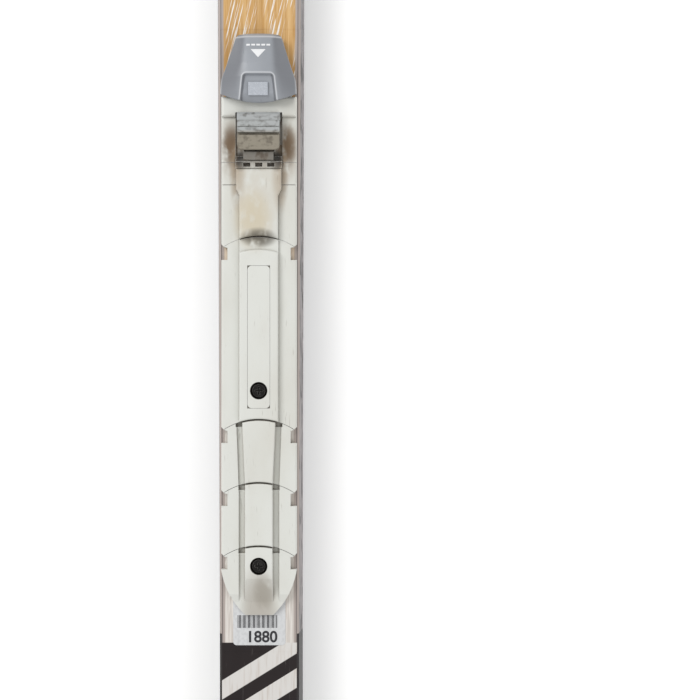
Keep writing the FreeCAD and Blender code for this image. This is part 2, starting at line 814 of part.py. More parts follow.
def bumper():
    """The rubber block that the boot's toe leans on, grooved across its top."""
    body = binding_body("bumper")
    low = S.ledge_height + 0.7
    top = S.bumper_height
    front = S.bumper_front
    back = HOOK_FRONT + 0.1
    relief = S.toe_bar_height + S.toe_bar_radius + S.jaw_clearance + S.slider_thickness + 0.6
    profile = [(jaw_reach() + 0.6, low), (front, low), (front, top - 1.4), (front - 8.9, top - 0.9),
               (front - 8.9, top), (back, top), (back, relief), (jaw_reach() + 0.6, relief)]
    width = S.well_width - 3.0
    pad(body, outline(body, "YZ", profile), width, both_ways=True)
    soften(body, "Fillet", 2.6, lambda edge: upright(edge) and edge.BoundBox.YMax < back + 1.0)
    for start, end, depth in ((3.5, 4.1, 1.6), (7.2, 8.9, 3.2)):
        groove = rectangle(front - end, top - depth, front - start, top + 2.0)
        pocket(body, outline(body, "YZ", groove), S.binding_width, both_ways=True)
    soften(body, "Fillet", 0.5, lambda edge: level_edge(edge, top.value))
    return body


def bumper_clip():
    """The light clip that holds the bumper against the crossbar."""
    body = binding_body("bumper_clip")
    low = S.ledge_height + 0.7
    rear = S.bumper_front + S.seam_gap
    top = S.bumper_height - 2.0
    profile = [(rear, low), (S.well_length - 0.4, low), (S.well_length - 0.4, top - 1.6),
               (S.well_length - 2.0, top), (rear, top)]
    pad(body, outline(body, "YZ", profile), S.well_width - 2.4, both_ways=True)
    return body


# ------------------------------------------------------------------------ the lid


def lid_section(half, side, top, plateau, low):
    """A cross-section of the lid: skirt, sloping facet and flat plateau."""
    return mirrored([(half, low), (half, side), (plateau, top)])


def lid_stations(inset):
    """The lid's cross-sections from its rear edge to its nose, inset by a wall."""
    half = S.lid_width / 2
    nose = S.lid_nose_width / 2
    plateau = S.plateau_width / 2
    low = S.floor_thickness + 3.6 if value_of(inset) == 0.0 else S.ledge_height * 0.5
    rows = [
        (S.lid_rear - 1.0, half, S.lid_height - 6.0, S.lid_height - 1.2, plateau),
        (S.lid_corner, half, S.lid_height - 6.0, S.lid_height - 0.6, plateau),
        (S.lid_shoulder, half - 0.7, S.lid_height - 6.6, S.lid_height, plateau),
        (S.lid_shoulder + 13.5, half - 5.2, S.lid_height - 8.6, S.lid_height - 2.4, plateau - 0.2),
        (S.lid_length - 3.4, nose + 1.1, S.lid_height - 11.2, S.lid_height - 6.8, plateau - 0.6),
        (S.lid_length, nose, S.lid_height - 13.2, S.lid_height - 10.6, plateau - 1.4),
    ]
    stations = []
    for y, side_half, side, top, flat in rows:
        section = lid_section(side_half - inset, side - inset, top - inset, flat - inset * 0.6, low)
        stations.append((y, section))
    return stations


def lid_loft(body, kind, stations):
    """Adds or cuts the form between the lid's cross-sections."""
    sketches = [outline(body, "XZ", section, at=-y) for y, section in stations]
    loft = body.newObject(f"PartDesign::{kind}", kind)
    loft.Profile = sketches[0]
    loft.Sections = sketches[1:]
    loft.Ruled = True
    for sketch in sketches:
        sketch.Visibility = False
    doc.recompute()
    return loft


def release_lid():
    """The hinged lid: a thin shell with a recess for the pole tip, two lugs and a nose."""
    body = binding_body("release_lid")
    lid_loft(body, "AdditiveLoft", lid_stations(0.0))
    half = S.lid_width / 2
    behind = [(-half - BEYOND, S.well_length - 2 * BEYOND), (half + BEYOND, S.well_length - 2 * BEYOND),
              (half + BEYOND, S.lid_corner), (half, S.lid_corner, S.lid_rear - S.lid_corner),
              (-half, S.lid_corner), (-half - BEYOND, S.lid_corner)]
    pocket(body, outline(body, "XY", behind, at=-1.0), S.lid_height * 2, reverse=True)
    inner = lid_stations(S.lid_wall)
    inner[0] = (S.lid_corner - 1.0, inner[1][1])
    inner[-1] = (S.lid_length - S.lid_wall, inner[-1][1])
    del inner[1]
    lid_loft(body, "SubtractiveLoft", inner)

    roof = S.crossbar_height + 4.3
    over_bar = rectangle(-half - BEYOND, S.well_length - 2 * BEYOND, half + BEYOND, S.lid_corner + 0.1)
    pocket(body, outline(body, "XY", over_bar), roof, reverse=True)
    block = rectangle(-13.0, S.lid_corner - 1.0, 13.0, S.lid_shoulder + 3.8)
    pad(body, outline(body, "XY", block, at=roof), S.lid_height - roof - 1.2)
    recess = [(-11.4, S.lid_rear + 3.0), (11.4, S.lid_rear + 3.0),
              (9.6, S.lid_shoulder + 2.2), (-9.6, S.lid_shoulder + 2.2)]
    pocket(body, outline(body, "XY", recess, at=recess_floor()), 10.0, reverse=True)

    pin_y = S.lid_pin_place
    lug = [(pin_y - 3.0, S.lid_pin_height - 0.2, 2.7), (pin_y + 3.0, S.lid_pin_height - 0.2),
           (pin_y + 3.0, S.lid_height - 7.4), (pin_y - 3.0, S.lid_height - 4.8)]
    for start in (5.4, -8.4):
        pad(body, outline(body, "YZ", lug, at=start), 3.0)
    pocket(body, circle(body, "YZ", pin_y, S.lid_pin_height, S.pin_radius + 0.06),
           S.lid_width, both_ways=True)
    tip = S.slider_length - 5.3
    nose = [(tip - 1.4, roof + 0.5), (tip, S.lid_pin_height + 0.9),
            (tip + 1.0, S.lid_pin_height + 0.9), (tip + 2.6, roof + 0.5)]
    pad(body, outline(body, "YZ", nose), 4.0, both_ways=True)
    return body


def recess_floor():
    """The floor of the lid's recess, above the deck."""
    return S.lid_height - 3.1


def pole_pad():
    """The raised pad in the lid's recess."""
    body = binding_body("pole_pad")
    rear = S.lid_corner - 1.6
    pad(body, outline(body, "XY", rectangle(-6.0, rear, 6.0, rear + 8.2), at=recess_floor()), 1.4)
    soften(body, "Fillet", 0.5, lambda edge: level_edge(edge, recess_floor().value + 1.4))
    return body


def lid_pin():
    """The steel pin that the lid turns on."""
    item = doc.addObject("Part::Cylinder", "lid_pin")
    item.Label = "lid_pin"
    item.Placement.Rotation = FreeCAD.Rotation(V(0, 1, 0), 90)
    half = S.lid_nose_width / 2 - 1.0
    place(item, -half, S.toe_bar_place + S.lid_pin_place, S.deck_height + S.lid_pin_height)
    bind(item, "Radius", S.pin_radius)
    bind(item, "Height", half * 2)
    return item


# --------------------------------------------------------------------- the plates


def nose_half():
    """Half the width of each plate's rounded nose."""
    return S.nose_width / 2


def front_plate():
    """The base plate beside and under the front ridge."""
    body = binding_body("front_plate")
    half = S.binding_width / 2
    front = -S.toe_bar_radius - S.jaw_clearance - S.seam_gap
    rear = -S.mid_front - S.nose_rise + S.seam_gap
    notch = S.well_width / 2
    corners = [(-nose_half(), rear, -S.nose_rise), (nose_half(), rear), (half, rear + 1.5),
               (half, front), (notch, front), (notch, -S.cover_front), (-notch, -S.cover_front),
               (-notch, front), (-half, front), (-half, rear + 1.5)]
    pad(body, outline(body, "XY", corners), S.flank_height)
    soften(body, "Fillet", 1.6, lambda edge: along_y(edge, S.flank_height.value)
           and abs(edge.BoundBox.XMax) > half.value - 0.5)
    pocket(body, outline(body, "XY", cover_outline(S.seam_gap), at=cover_seat()), 20.0,
           reverse=True)
    line = -S.cover_front - 9.7
    pocket(body, outline(body, "XY", rectangle(-half - 1.0, line - 0.25, half + 1.0, line + 0.25),
                         at=S.flank_height - 0.5), 5.0, reverse=True)
    return body


def cover_seat():
    """The seat under the front ridge's cover."""
    return S.flank_height - 2.2


def cover_outline(gap):
    """The front ridge seen from above, widened by a gap."""
    wide = S.cover_width / 2 + gap
    slim = S.ridge_width / 2 + gap
    rear = -S.cover_rear + S.seam_gap - gap
    front = -S.cover_front + gap - S.seam_gap
    neck = -S.cover_front - 12.6
    return [(-slim, rear, -1.9), (slim, rear), (slim, neck - 3.9), (wide, neck), (wide, front),
            (-wide, front), (-wide, neck), (-slim, neck - 3.9)]


def ridge_cover():
    """The raised front guide ridge."""
    body = binding_body("ridge_cover")
    height = S.cover_height - cover_seat()
    pad(body, outline(body, "XY", cover_outline(0.0), at=cover_seat()), height)
    soften(body, "Fillet", 1.3, lambda edge: level_edge(edge, S.cover_height.value))
    return body


def plate_outline(front, rear):
    """A plate between two joints: rounded nose, side notches and a hollow rear edge.

    Args: front and rear are the apexes of the two joints, behind the toe bar.
    """
    half = S.binding_width / 2
    nose = nose_half()
    shoulder = -front - S.nose_rise
    tail = -rear - S.nose_rise + S.seam_gap * 2
    notch = nose - 2.3
    return [(-nose, tail, -S.nose_rise), (nose, tail), (half, tail + 1.5),
            (half, shoulder - 8.0), (notch, shoulder - 8.0), (notch, shoulder - 0.6),
            (nose, shoulder, S.nose_rise), (-nose, shoulder), (-notch, shoulder - 0.6),
            (-notch, shoulder - 8.0), (-half, shoulder - 8.0), (-half, tail + 1.5)]


def plate_base(name, front, rear):
    """The flat base of a plate, with its rounded nose and side notches."""
    body = binding_body(name)
    half = S.binding_width / 2
    pad(body, outline(body, "XY", plate_outline(front, rear)), S.flank_height)
    soften(body, "Fillet", 1.6, lambda edge: along_y(edge, S.flank_height.value)
           and abs(edge.BoundBox.XMax) > half.value - 0.5)
    return body


def nose_depth(half):
    """How far the plates' common nose curve falls back at this distance from the middle."""
    radius = (nose_half() * nose_half() + S.nose_rise * S.nose_rise) / (2 * S.nose_rise)
    return half * half / (2 * radius)


def ridge_pad(body, front, rear, front_half, rear_half, top):
    """A ridge on a plate, hollow at its rear end and rounded at its nose."""
    sag = nose_depth(rear_half)
    bulge = nose_depth(front_half)
    corners = [(-rear_half, -rear - sag, -sag), (rear_half, -rear - sag),
               (front_half, -front - bulge, bulge), (-front_half, -front - bulge)]
    pad(body, outline(body, "XY", corners), top)
    soften(body, "Fillet", 1.1, lambda edge: level_edge(edge, top.value))


def mid_plate():
    """The long middle plate: low scuffed nose, ridge and the panel's recess."""
    body = plate_base("mid_plate", S.mid_front, S.mid_rear)
    ridge = S.ridge_width / 2
    start = S.mid_front + 8.2
    ridge_pad(body, start, S.mid_rear - 0.4, ridge, ridge, S.ridge_height)
    low_nose = [(-ridge, -start - 2.5), (ridge, -start - 2.5),
                (ridge, -S.mid_front - 2.2, 1.6), (-ridge, -S.mid_front - 2.2)]
    pad(body, outline(body, "XY", low_nose), S.ridge_height - 2.6)
    pocket(body, outline(body, "XY", insert_outline(S.seam_gap), at=S.ridge_height - 1.0),
           10.0, reverse=True)
    screw_seats(body, (2,))
    return body


def insert_outline(gap):
    """The outline of the panel in the middle ridge."""
    half = S.insert_width / 2 + gap
    front = -S.mid_front - 18.1 + gap
    rear = -S.mid_screw - 10.6 - gap
    return rectangle(-half, rear, half, front)


def ridge_insert():
    """The flat panel let into the middle ridge, with room for the screw's head."""
    body = binding_body("ridge_insert")
    pad(body, outline(body, "XY", insert_outline(0.0), at=S.ridge_height - 1.0), 0.9)
    soften(body, "Fillet", 2.5, upright)
    pocket(body, circle(body, "XY", 0.0, -S.mid_screw, S.screw_head_radius + S.running_gap),
           20.0, reverse=True)
    return body


def heel_grooves(body, front, rear, front_half, rear_half):
    """The two grooves between the heel ridge and its flanks."""
    for side in (-1, 1):
        corners = [(rear_half * side, -rear - 6.0),
                   ((rear_half + S.heel_groove_width) * side, -rear - 6.0),
                   ((front_half + S.heel_groove_width) * side, -front + 6.0),
                   (front_half * side, -front + 6.0)]
        pocket(body, outline(body, "XY", corners, at=S.flank_height - 2.0), 3.0, reverse=True)


def joint_notches(body, front, front_half):
    """The two notches where the joint in front of a heel plate crosses the grooves."""
    inner = front_half - 0.2
    outer = front_half + S.heel_groove_width + 0.2
    for left, right in ((inner, outer), (-outer, -inner)):
        notch = rectangle(left, -front - 1.0 - S.notch_length, right, -front + 1.0)
        pocket(body, outline(body, "XY", notch, at=S.floor_thickness), S.heel_height, reverse=True)


def heel_plate(name, front, rear, front_half):
    """One clipped segment under the heel."""
    body = plate_base(name, front, rear)
    half = S.heel_ridge_width / 2
    heel_grooves(body, front, rear, front_half, half)
    ridge_pad(body, front + 0.4, rear - 0.4, front_half, half, S.heel_height)
    joint_notches(body, front, front_half)
    return body


def heel_plate_rear():
    """The last segment, which tapers and slopes down to a flat end."""
    body = binding_body("heel_plate_rear")
    half = S.binding_width / 2
    nose = nose_half()
    notch = nose - 2.3
    shoulder = -S.second_seam - S.nose_rise
    end = -S.binding_rear
    tip_half = S.tail_end_width / 2
    ridge = S.heel_ridge_width / 2
    corners = [(-tip_half, end), (tip_half, end, 2.6), (half, shoulder - 8.0),
               (notch, shoulder - 8.0), (notch, shoulder - 0.6), (nose, shoulder, S.nose_rise),
               (-nose, shoulder), (-notch, shoulder - 0.6), (-notch, shoulder - 8.0),
               (-half, shoulder - 8.0, 2.6)]
    pad(body, outline(body, "XY", corners), S.flank_height)
    heel_grooves(body, S.second_seam, S.binding_rear, ridge, ridge)
    ridge_pad(body, S.second_seam + 0.4, S.binding_rear - 2.5, ridge, ridge, S.heel_height)
    joint_notches(body, S.second_seam, ridge)
    slope = [(end - 1.0, 2.0), (end + 8.0, 3.4), (-S.heel_screw - 7.0, S.heel_height + 0.2),
             (-S.heel_screw - 7.0, 20.0), (end - 1.0, 20.0)]
    pocket(body, outline(body, "YZ", slope), S.binding_width + 4.0, both_ways=True)
    half_label = S.label_width / 2 + S.running_gap
    label_room = rectangle(-half_label, end - 2.0, half_label, -S.label_front + S.running_gap)
    pocket(body, outline(body, "XY", label_room), S.label_thickness + 0.05, reverse=True)
    screw_seats(body, (3,))
    return body


def mounting_screws():
    """Four identical screws with a cross recess."""
    screws = []
    shank = S.screw_radius
    head = S.screw_head_radius
    for number, (x, y, seat) in enumerate(screw_places()):
        body = new_body(f"screw_{number}")
        place(body, x, S.toe_bar_place + y, S.deck_height + seat)
        profile = [(0.0, -S.screw_length), (shank * 0.3, -S.screw_length),
                   (shank, -S.screw_length + 4.0), (shank, 0.0), (head, 0.0),
                   (head, S.screw_head_height - 0.9), (head - 1.2, S.screw_head_height),
                   (0.0, S.screw_head_height)]
        turn = body.newObject("PartDesign::Revolution", "Turned")
        turn.Profile = outline(body, "XZ", profile)
        turn.ReferenceAxis = (turn.Profile[0], ["V_Axis"])
        turn.Angle = 360.0
        long, thin = 2.5, 0.55
        cross = [(thin, -long), (thin, -thin), (long, -thin), (long, thin), (thin, thin),
                 (thin, long)]
        cross += [(-across, along) for across, along in reversed(cross)]
        pocket(body, outline(body, "XY", cross, at=S.screw_head_height - 1.7), 4.0, reverse=True)
        screws.append(body)
    return compound("mounting_screws", screws)


# ---------------------------------------------------------------------- the parts


def all_parts():
    """Every sub-part, from the snow up and from the tip back."""
    heel_front_half = S.heel_ridge_width / 2 + 1.7
    heel_half = S.heel_ridge_width / 2
    return ski_layers() + [
        size_label(), toe_housing(), slide_cover(), release_lid(), pole_pad(), lid_pin(),
        jaw_slider(), jaw_springs(), spring_guides(), bumper(), bumper_clip(), fixed_jaw(),
        front_plate(), ridge_cover(), mid_plate(), ridge_insert(),
        heel_plate("heel_plate_front", S.mid_rear, S.first_seam, heel_front_half),
        heel_plate("heel_plate_middle", S.first_seam, S.second_seam, heel_half),
        heel_plate_rear(), mounting_screws(),
    ]


def check(parts):
    """Stop if any object failed or any sub-part has no sound shape."""
    for item in doc.Objects:
        if "Invalid" in item.State or "Error" in item.State:
            raise RuntimeError(f"{item.Label} failed: {item.State}")
    for part in parts:
        if part.Shape.isNull() or not part.Shape.isValid() or not part.Shape.Solids:
            raise RuntimeError(f"{part.Label} has no sound shape")


def write(parts):
    """The number behind a size, or the number itself."""
    os.makedirs("parts", exist_ok=True)
    for part in parts:
        part.Shape.exportStep(f"parts/{part.Label}.step")
        print(part.Label, len(part.Shape.Solids), round(part.Shape.Volume, 1))


parts = all_parts()
doc.recompute()
check(parts)
write(parts)
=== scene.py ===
import logging
import math
from dataclasses import dataclass
from enum import Enum

import bmesh
import bpy
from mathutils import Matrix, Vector


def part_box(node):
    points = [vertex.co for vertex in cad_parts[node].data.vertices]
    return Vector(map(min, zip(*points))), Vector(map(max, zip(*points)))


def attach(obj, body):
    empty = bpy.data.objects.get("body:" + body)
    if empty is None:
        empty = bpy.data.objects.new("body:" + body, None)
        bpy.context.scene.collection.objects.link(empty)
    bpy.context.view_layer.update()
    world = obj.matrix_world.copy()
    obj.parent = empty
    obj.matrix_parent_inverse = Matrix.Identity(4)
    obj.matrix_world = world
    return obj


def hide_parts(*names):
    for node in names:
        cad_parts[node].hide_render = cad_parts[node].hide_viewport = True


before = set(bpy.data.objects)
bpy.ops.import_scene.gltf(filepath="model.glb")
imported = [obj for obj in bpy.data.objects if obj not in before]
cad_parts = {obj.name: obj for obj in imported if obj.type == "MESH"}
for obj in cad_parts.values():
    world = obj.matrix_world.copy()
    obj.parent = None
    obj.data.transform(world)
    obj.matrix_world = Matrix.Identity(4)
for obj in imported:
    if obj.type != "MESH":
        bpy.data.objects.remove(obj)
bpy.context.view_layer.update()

LOG = logging.getLogger("cross_country_ski")
MM = 0.001

MIX_FIRST_COLOUR = 6
MIX_SECOND_COLOUR = 7
MIX_COLOUR = 2
CREVICE_SAMPLES = 6
EDGE_SAMPLES = 4
EDGE_ROUNDING = 0.25 * MM
EDGE_FLAT = 0.995
EDGE_SHARP = 0.86

Pair = tuple[float, float]
Triple = tuple[float, float, float]
Socket = bpy.types.NodeSocket
Material = bpy.types.Material


class Body(Enum):
    """The bodies that added pieces ride on."""

    SKI = "ski"
    LID = "lid"


def paint(code: str) -> tuple[float, float, float, float]:
    """A colour card's six hexadecimal digits as a linear colour.

    Args:
        code: red, green and blue, two digits each.

    Returns:
        The colour as red, green, blue and a full alpha.
    """
    shares = [int(code[i:i + 2], 16) / 255 for i in (0, 2, 4)]
    linear = [s / 12.92 if s <= 0.04045 else ((s + 0.055) / 1.055) ** 2.4 for s in shares]
    return (*linear, 1.0)


class Graph:
    """The node tree of one finish, with a short call for each thing a finish is made of."""

    def __init__(self, name: str) -> None:
        """Starts a material that holds only a shader and its output.

        Args:
            name: the material's name.
        """
        self.material = bpy.data.materials.new(name)
        self.material.use_nodes = True
        self.tree = self.material.node_tree
        self.tree.nodes.clear()
        self.shader = self.node("ShaderNodeBsdfPrincipled")
        output = self.node("ShaderNodeOutputMaterial")
        self.tree.links.new(self.shader.outputs["BSDF"], output.inputs["Surface"])
        where = self.node("ShaderNodeTexCoord")
        self.place = where.outputs["Object"]
        surface = self.node("ShaderNodeNewGeometry")
        self.facing = self.node("ShaderNodeSeparateXYZ", Vector=surface.outputs["True Normal"]).outputs
        split = self.node("ShaderNodeSeparateXYZ", Vector=self.place)
        self.x, self.y, _ = split.outputs

    def node(self, kind: str, **inputs: object) -> bpy.types.Node:
        """Adds one node.

        Args:
            kind: the node's type.
            inputs: values or sockets for its named inputs.

        Returns:
            The node.
        """
        made = self.tree.nodes.new(kind)
        for name, value in inputs.items():
            self.put(made.inputs[name.replace("_", " ")], value)
        return made

    def put(self, target: Socket, value: object) -> None:
        """Links a socket to another, or sets its own value.

        Args:
            target: the input socket.
            value: a socket, or a plain value.
        """
        if isinstance(value, Socket):
            self.tree.links.new(value, target)
        else:
            target.default_value = value

    def sum(self, kind: str, first: object, second: object = 0.0) -> Socket:
        """One step of arithmetic.

        Args:
            kind: the operation, such as ADD or MULTIPLY.
            first: a socket or a number.
            second: a socket or a number.

        Returns:
            The result's socket.
        """
        made = self.node("ShaderNodeMath")
        made.operation = kind
        self.put(made.inputs[0], first)
        self.put(made.inputs[1], second)
        return made.outputs[0]

    def rise(self, value: Socket, low: float, high: float) -> Socket:
        """Climbs smoothly from 0 at low to 1 at high, and falls where high is the lower.

        Args:
            value: what is measured.
            low: the value where the share is 0.
            high: the value where the share is 1.

        Returns:
            The share's socket.
        """
        made = self.node("ShaderNodeMapRange")
        made.interpolation_type = "SMOOTHSTEP"
        made.clamp = True
        first, second, start, end = (low, high, 0.0, 1.0) if low < high else (high, low, 1.0, 0.0)
        for name, number in zip(("From Min", "From Max", "To Min", "To Max"), (first, second, start, end)):
            made.inputs[name].default_value = number
        self.put(made.inputs["Value"], value)
        return made.outputs["Result"]

    def both(self, *shares: object) -> Socket:
        """Where several things hold at once.

        Args:
            shares: sockets or numbers from 0 to 1.

        Returns:
            The socket of their product.
        """
        total = shares[0]
        for share in shares[1:]:
            total = self.sum("MULTIPLY", total, share)
        return total

    def noise(self, size: Triple, detail: float = 3.0, shift: float = 0.0) -> Socket:
        """Soft random variation.

        Args:
            size: the length of one patch along each axis, in millimetres.
            detail: how many finer layers lie on it.
            shift: moves the pattern, so that two of one size differ.

        Returns:
            A value about one half.
        """
        place = self.node("ShaderNodeMapping", Vector=self.place)
        place.inputs["Scale"].default_value = [1 / (s * MM) for s in size]
        place.inputs["Location"].default_value = (shift, shift, shift)
        made = self.node("ShaderNodeTexNoise", Vector=place.outputs[0], Scale=1.0, Detail=detail)
        return made.outputs["Fac"]

    def dots(self, spacing: float) -> Socket:
        """The distance to the nearest of evenly scattered dots.

        Args:
            spacing: the mean distance between two dots, in millimetres.

        Returns:
            The distance as a share of the spacing.
        """
        made = self.node("ShaderNodeTexVoronoi", Vector=self.place, Scale=1 / (spacing * MM))
        made.inputs["Randomness"].default_value = 0.25
        return made.outputs["Distance"]

    def blend(self, share: object, first: object, second: object) -> Socket:
        """Puts the second colour on the first.

        Args:
            share: how much of the second shows.
            first: the colour below.
            second: the colour above.

        Returns:
            The colour's socket.
        """
        made = self.node("ShaderNodeMix")
        made.data_type = "RGBA"
        self.put(made.inputs["Factor"], share)
        self.put(made.inputs[MIX_FIRST_COLOUR], first)
        self.put(made.inputs[MIX_SECOND_COLOUR], second)
        return made.outputs[MIX_COLOUR]

    def patch(self, centre: Pair, reach: Pair) -> Socket:
        """A soft round spot seen from above.

        Args:
            centre: its middle, in metres.
            reach: how far it goes along x and y, in metres.

        Returns:
            A share that is 1 in the middle and 0 beyond the reach.
        """
        across = self.sum("DIVIDE", self.sum("SUBTRACT", self.x, centre[0]), reach[0])
        along = self.sum("DIVIDE", self.sum("SUBTRACT", self.y, centre[1]), reach[1])
        squares = self.sum("ADD", self.both(across, across), self.both(along, along))
        return self.rise(squares, 1.0, 0.0)

    def crevices(self, reach: float) -> Socket:
        """How enclosed a place is.

        Args:
            reach: how far the walls around it count, in millimetres.

        Returns:
            A share that is 0 in the open and near 1 in a narrow hollow.
        """
        made = self.node("ShaderNodeAmbientOcclusion", Distance=reach * MM)
        made.samples = CREVICE_SAMPLES
        return self.sum("SUBTRACT", 1.0, made.outputs["AO"])

    def curve(self, value: Socket, points: list[Pair]) -> Socket:
        """Follows a smooth curve through points.

        Args:
            value: how far along the curve, from 0 to 1.
            points: places along the curve, from 0 to 1, and the heights there.

        Returns:
            The height's socket.
        """
        made = self.node("ShaderNodeFloatCurve", Value=value)
        line = made.mapping.curves[0]
        line.points[0].location = points[0]
        line.points[1].location = points[-1]
        for point in points[1:-1]:
            line.points.new(*point)
        made.mapping.update()
        return made.outputs[0]

    def painted(self, name: str) -> Socket:
        """A share that a piece's own mesh carries.

        Args:
            name: the name it is kept under.

        Returns:
            The share's socket.
        """
        made = self.node("ShaderNodeAttribute")
        made.attribute_name = name
        return made.outputs["Fac"]

    def edges(self, radius: float) -> Socket:
        """Where two faces meet.

        Args:
            radius: how wide the band along an edge is, in millimetres.

        Returns:
            A share that is 1 on an edge and 0 away from it.
        """
        soft = self.node("ShaderNodeBevel", Radius=radius * MM)
        soft.samples = EDGE_SAMPLES
        hard = self.node("ShaderNodeNewGeometry")
        made = self.node("ShaderNodeVectorMath")
        made.operation = "DOT_PRODUCT"
        self.put(made.inputs[0], soft.outputs[0])
        self.put(made.inputs[1], hard.outputs["Normal"])
        return self.rise(made.outputs["Value"], EDGE_FLAT, EDGE_SHARP)

    def relief(self, *layers: tuple[Socket, float], rounded: bool = True) -> None:
        """Raises the surface by several patterns, one on another.

        Args:
            layers: each pattern and its height in millimetres.
            rounded: whether the edges look slightly rounded off.
        """
        if rounded:
            soft = self.node("ShaderNodeBevel", Radius=EDGE_ROUNDING)
            soft.samples = EDGE_SAMPLES
        else:
            soft = self.node("ShaderNodeNewGeometry")
        normal = soft.outputs["Normal"]
        for height, depth in layers:
            made = self.node("ShaderNodeBump", Height=height, Normal=normal)
            made.inputs["Strength"].default_value = 1.0
            made.inputs["Distance"].default_value = depth * MM
            normal = made.outputs[0]
        self.put(self.shader.inputs["Normal"], normal)

    def done(self, colour: object, roughness: object, **plain: float) -> Material:
        """Sets the shader.

        Args:
            colour: the base colour.
            roughness: the roughness.
            plain: values that are the same all over, by the shader's own names.

        Returns:
            The finished material.
        """
        self.put(self.shader.inputs["Base Color"], colour)
        self.put(self.shader.inputs["Roughness"], roughness)
        for name, value in plain.items():
            self.shader.inputs[name.replace("_", " ")].default_value = value
        return self.material


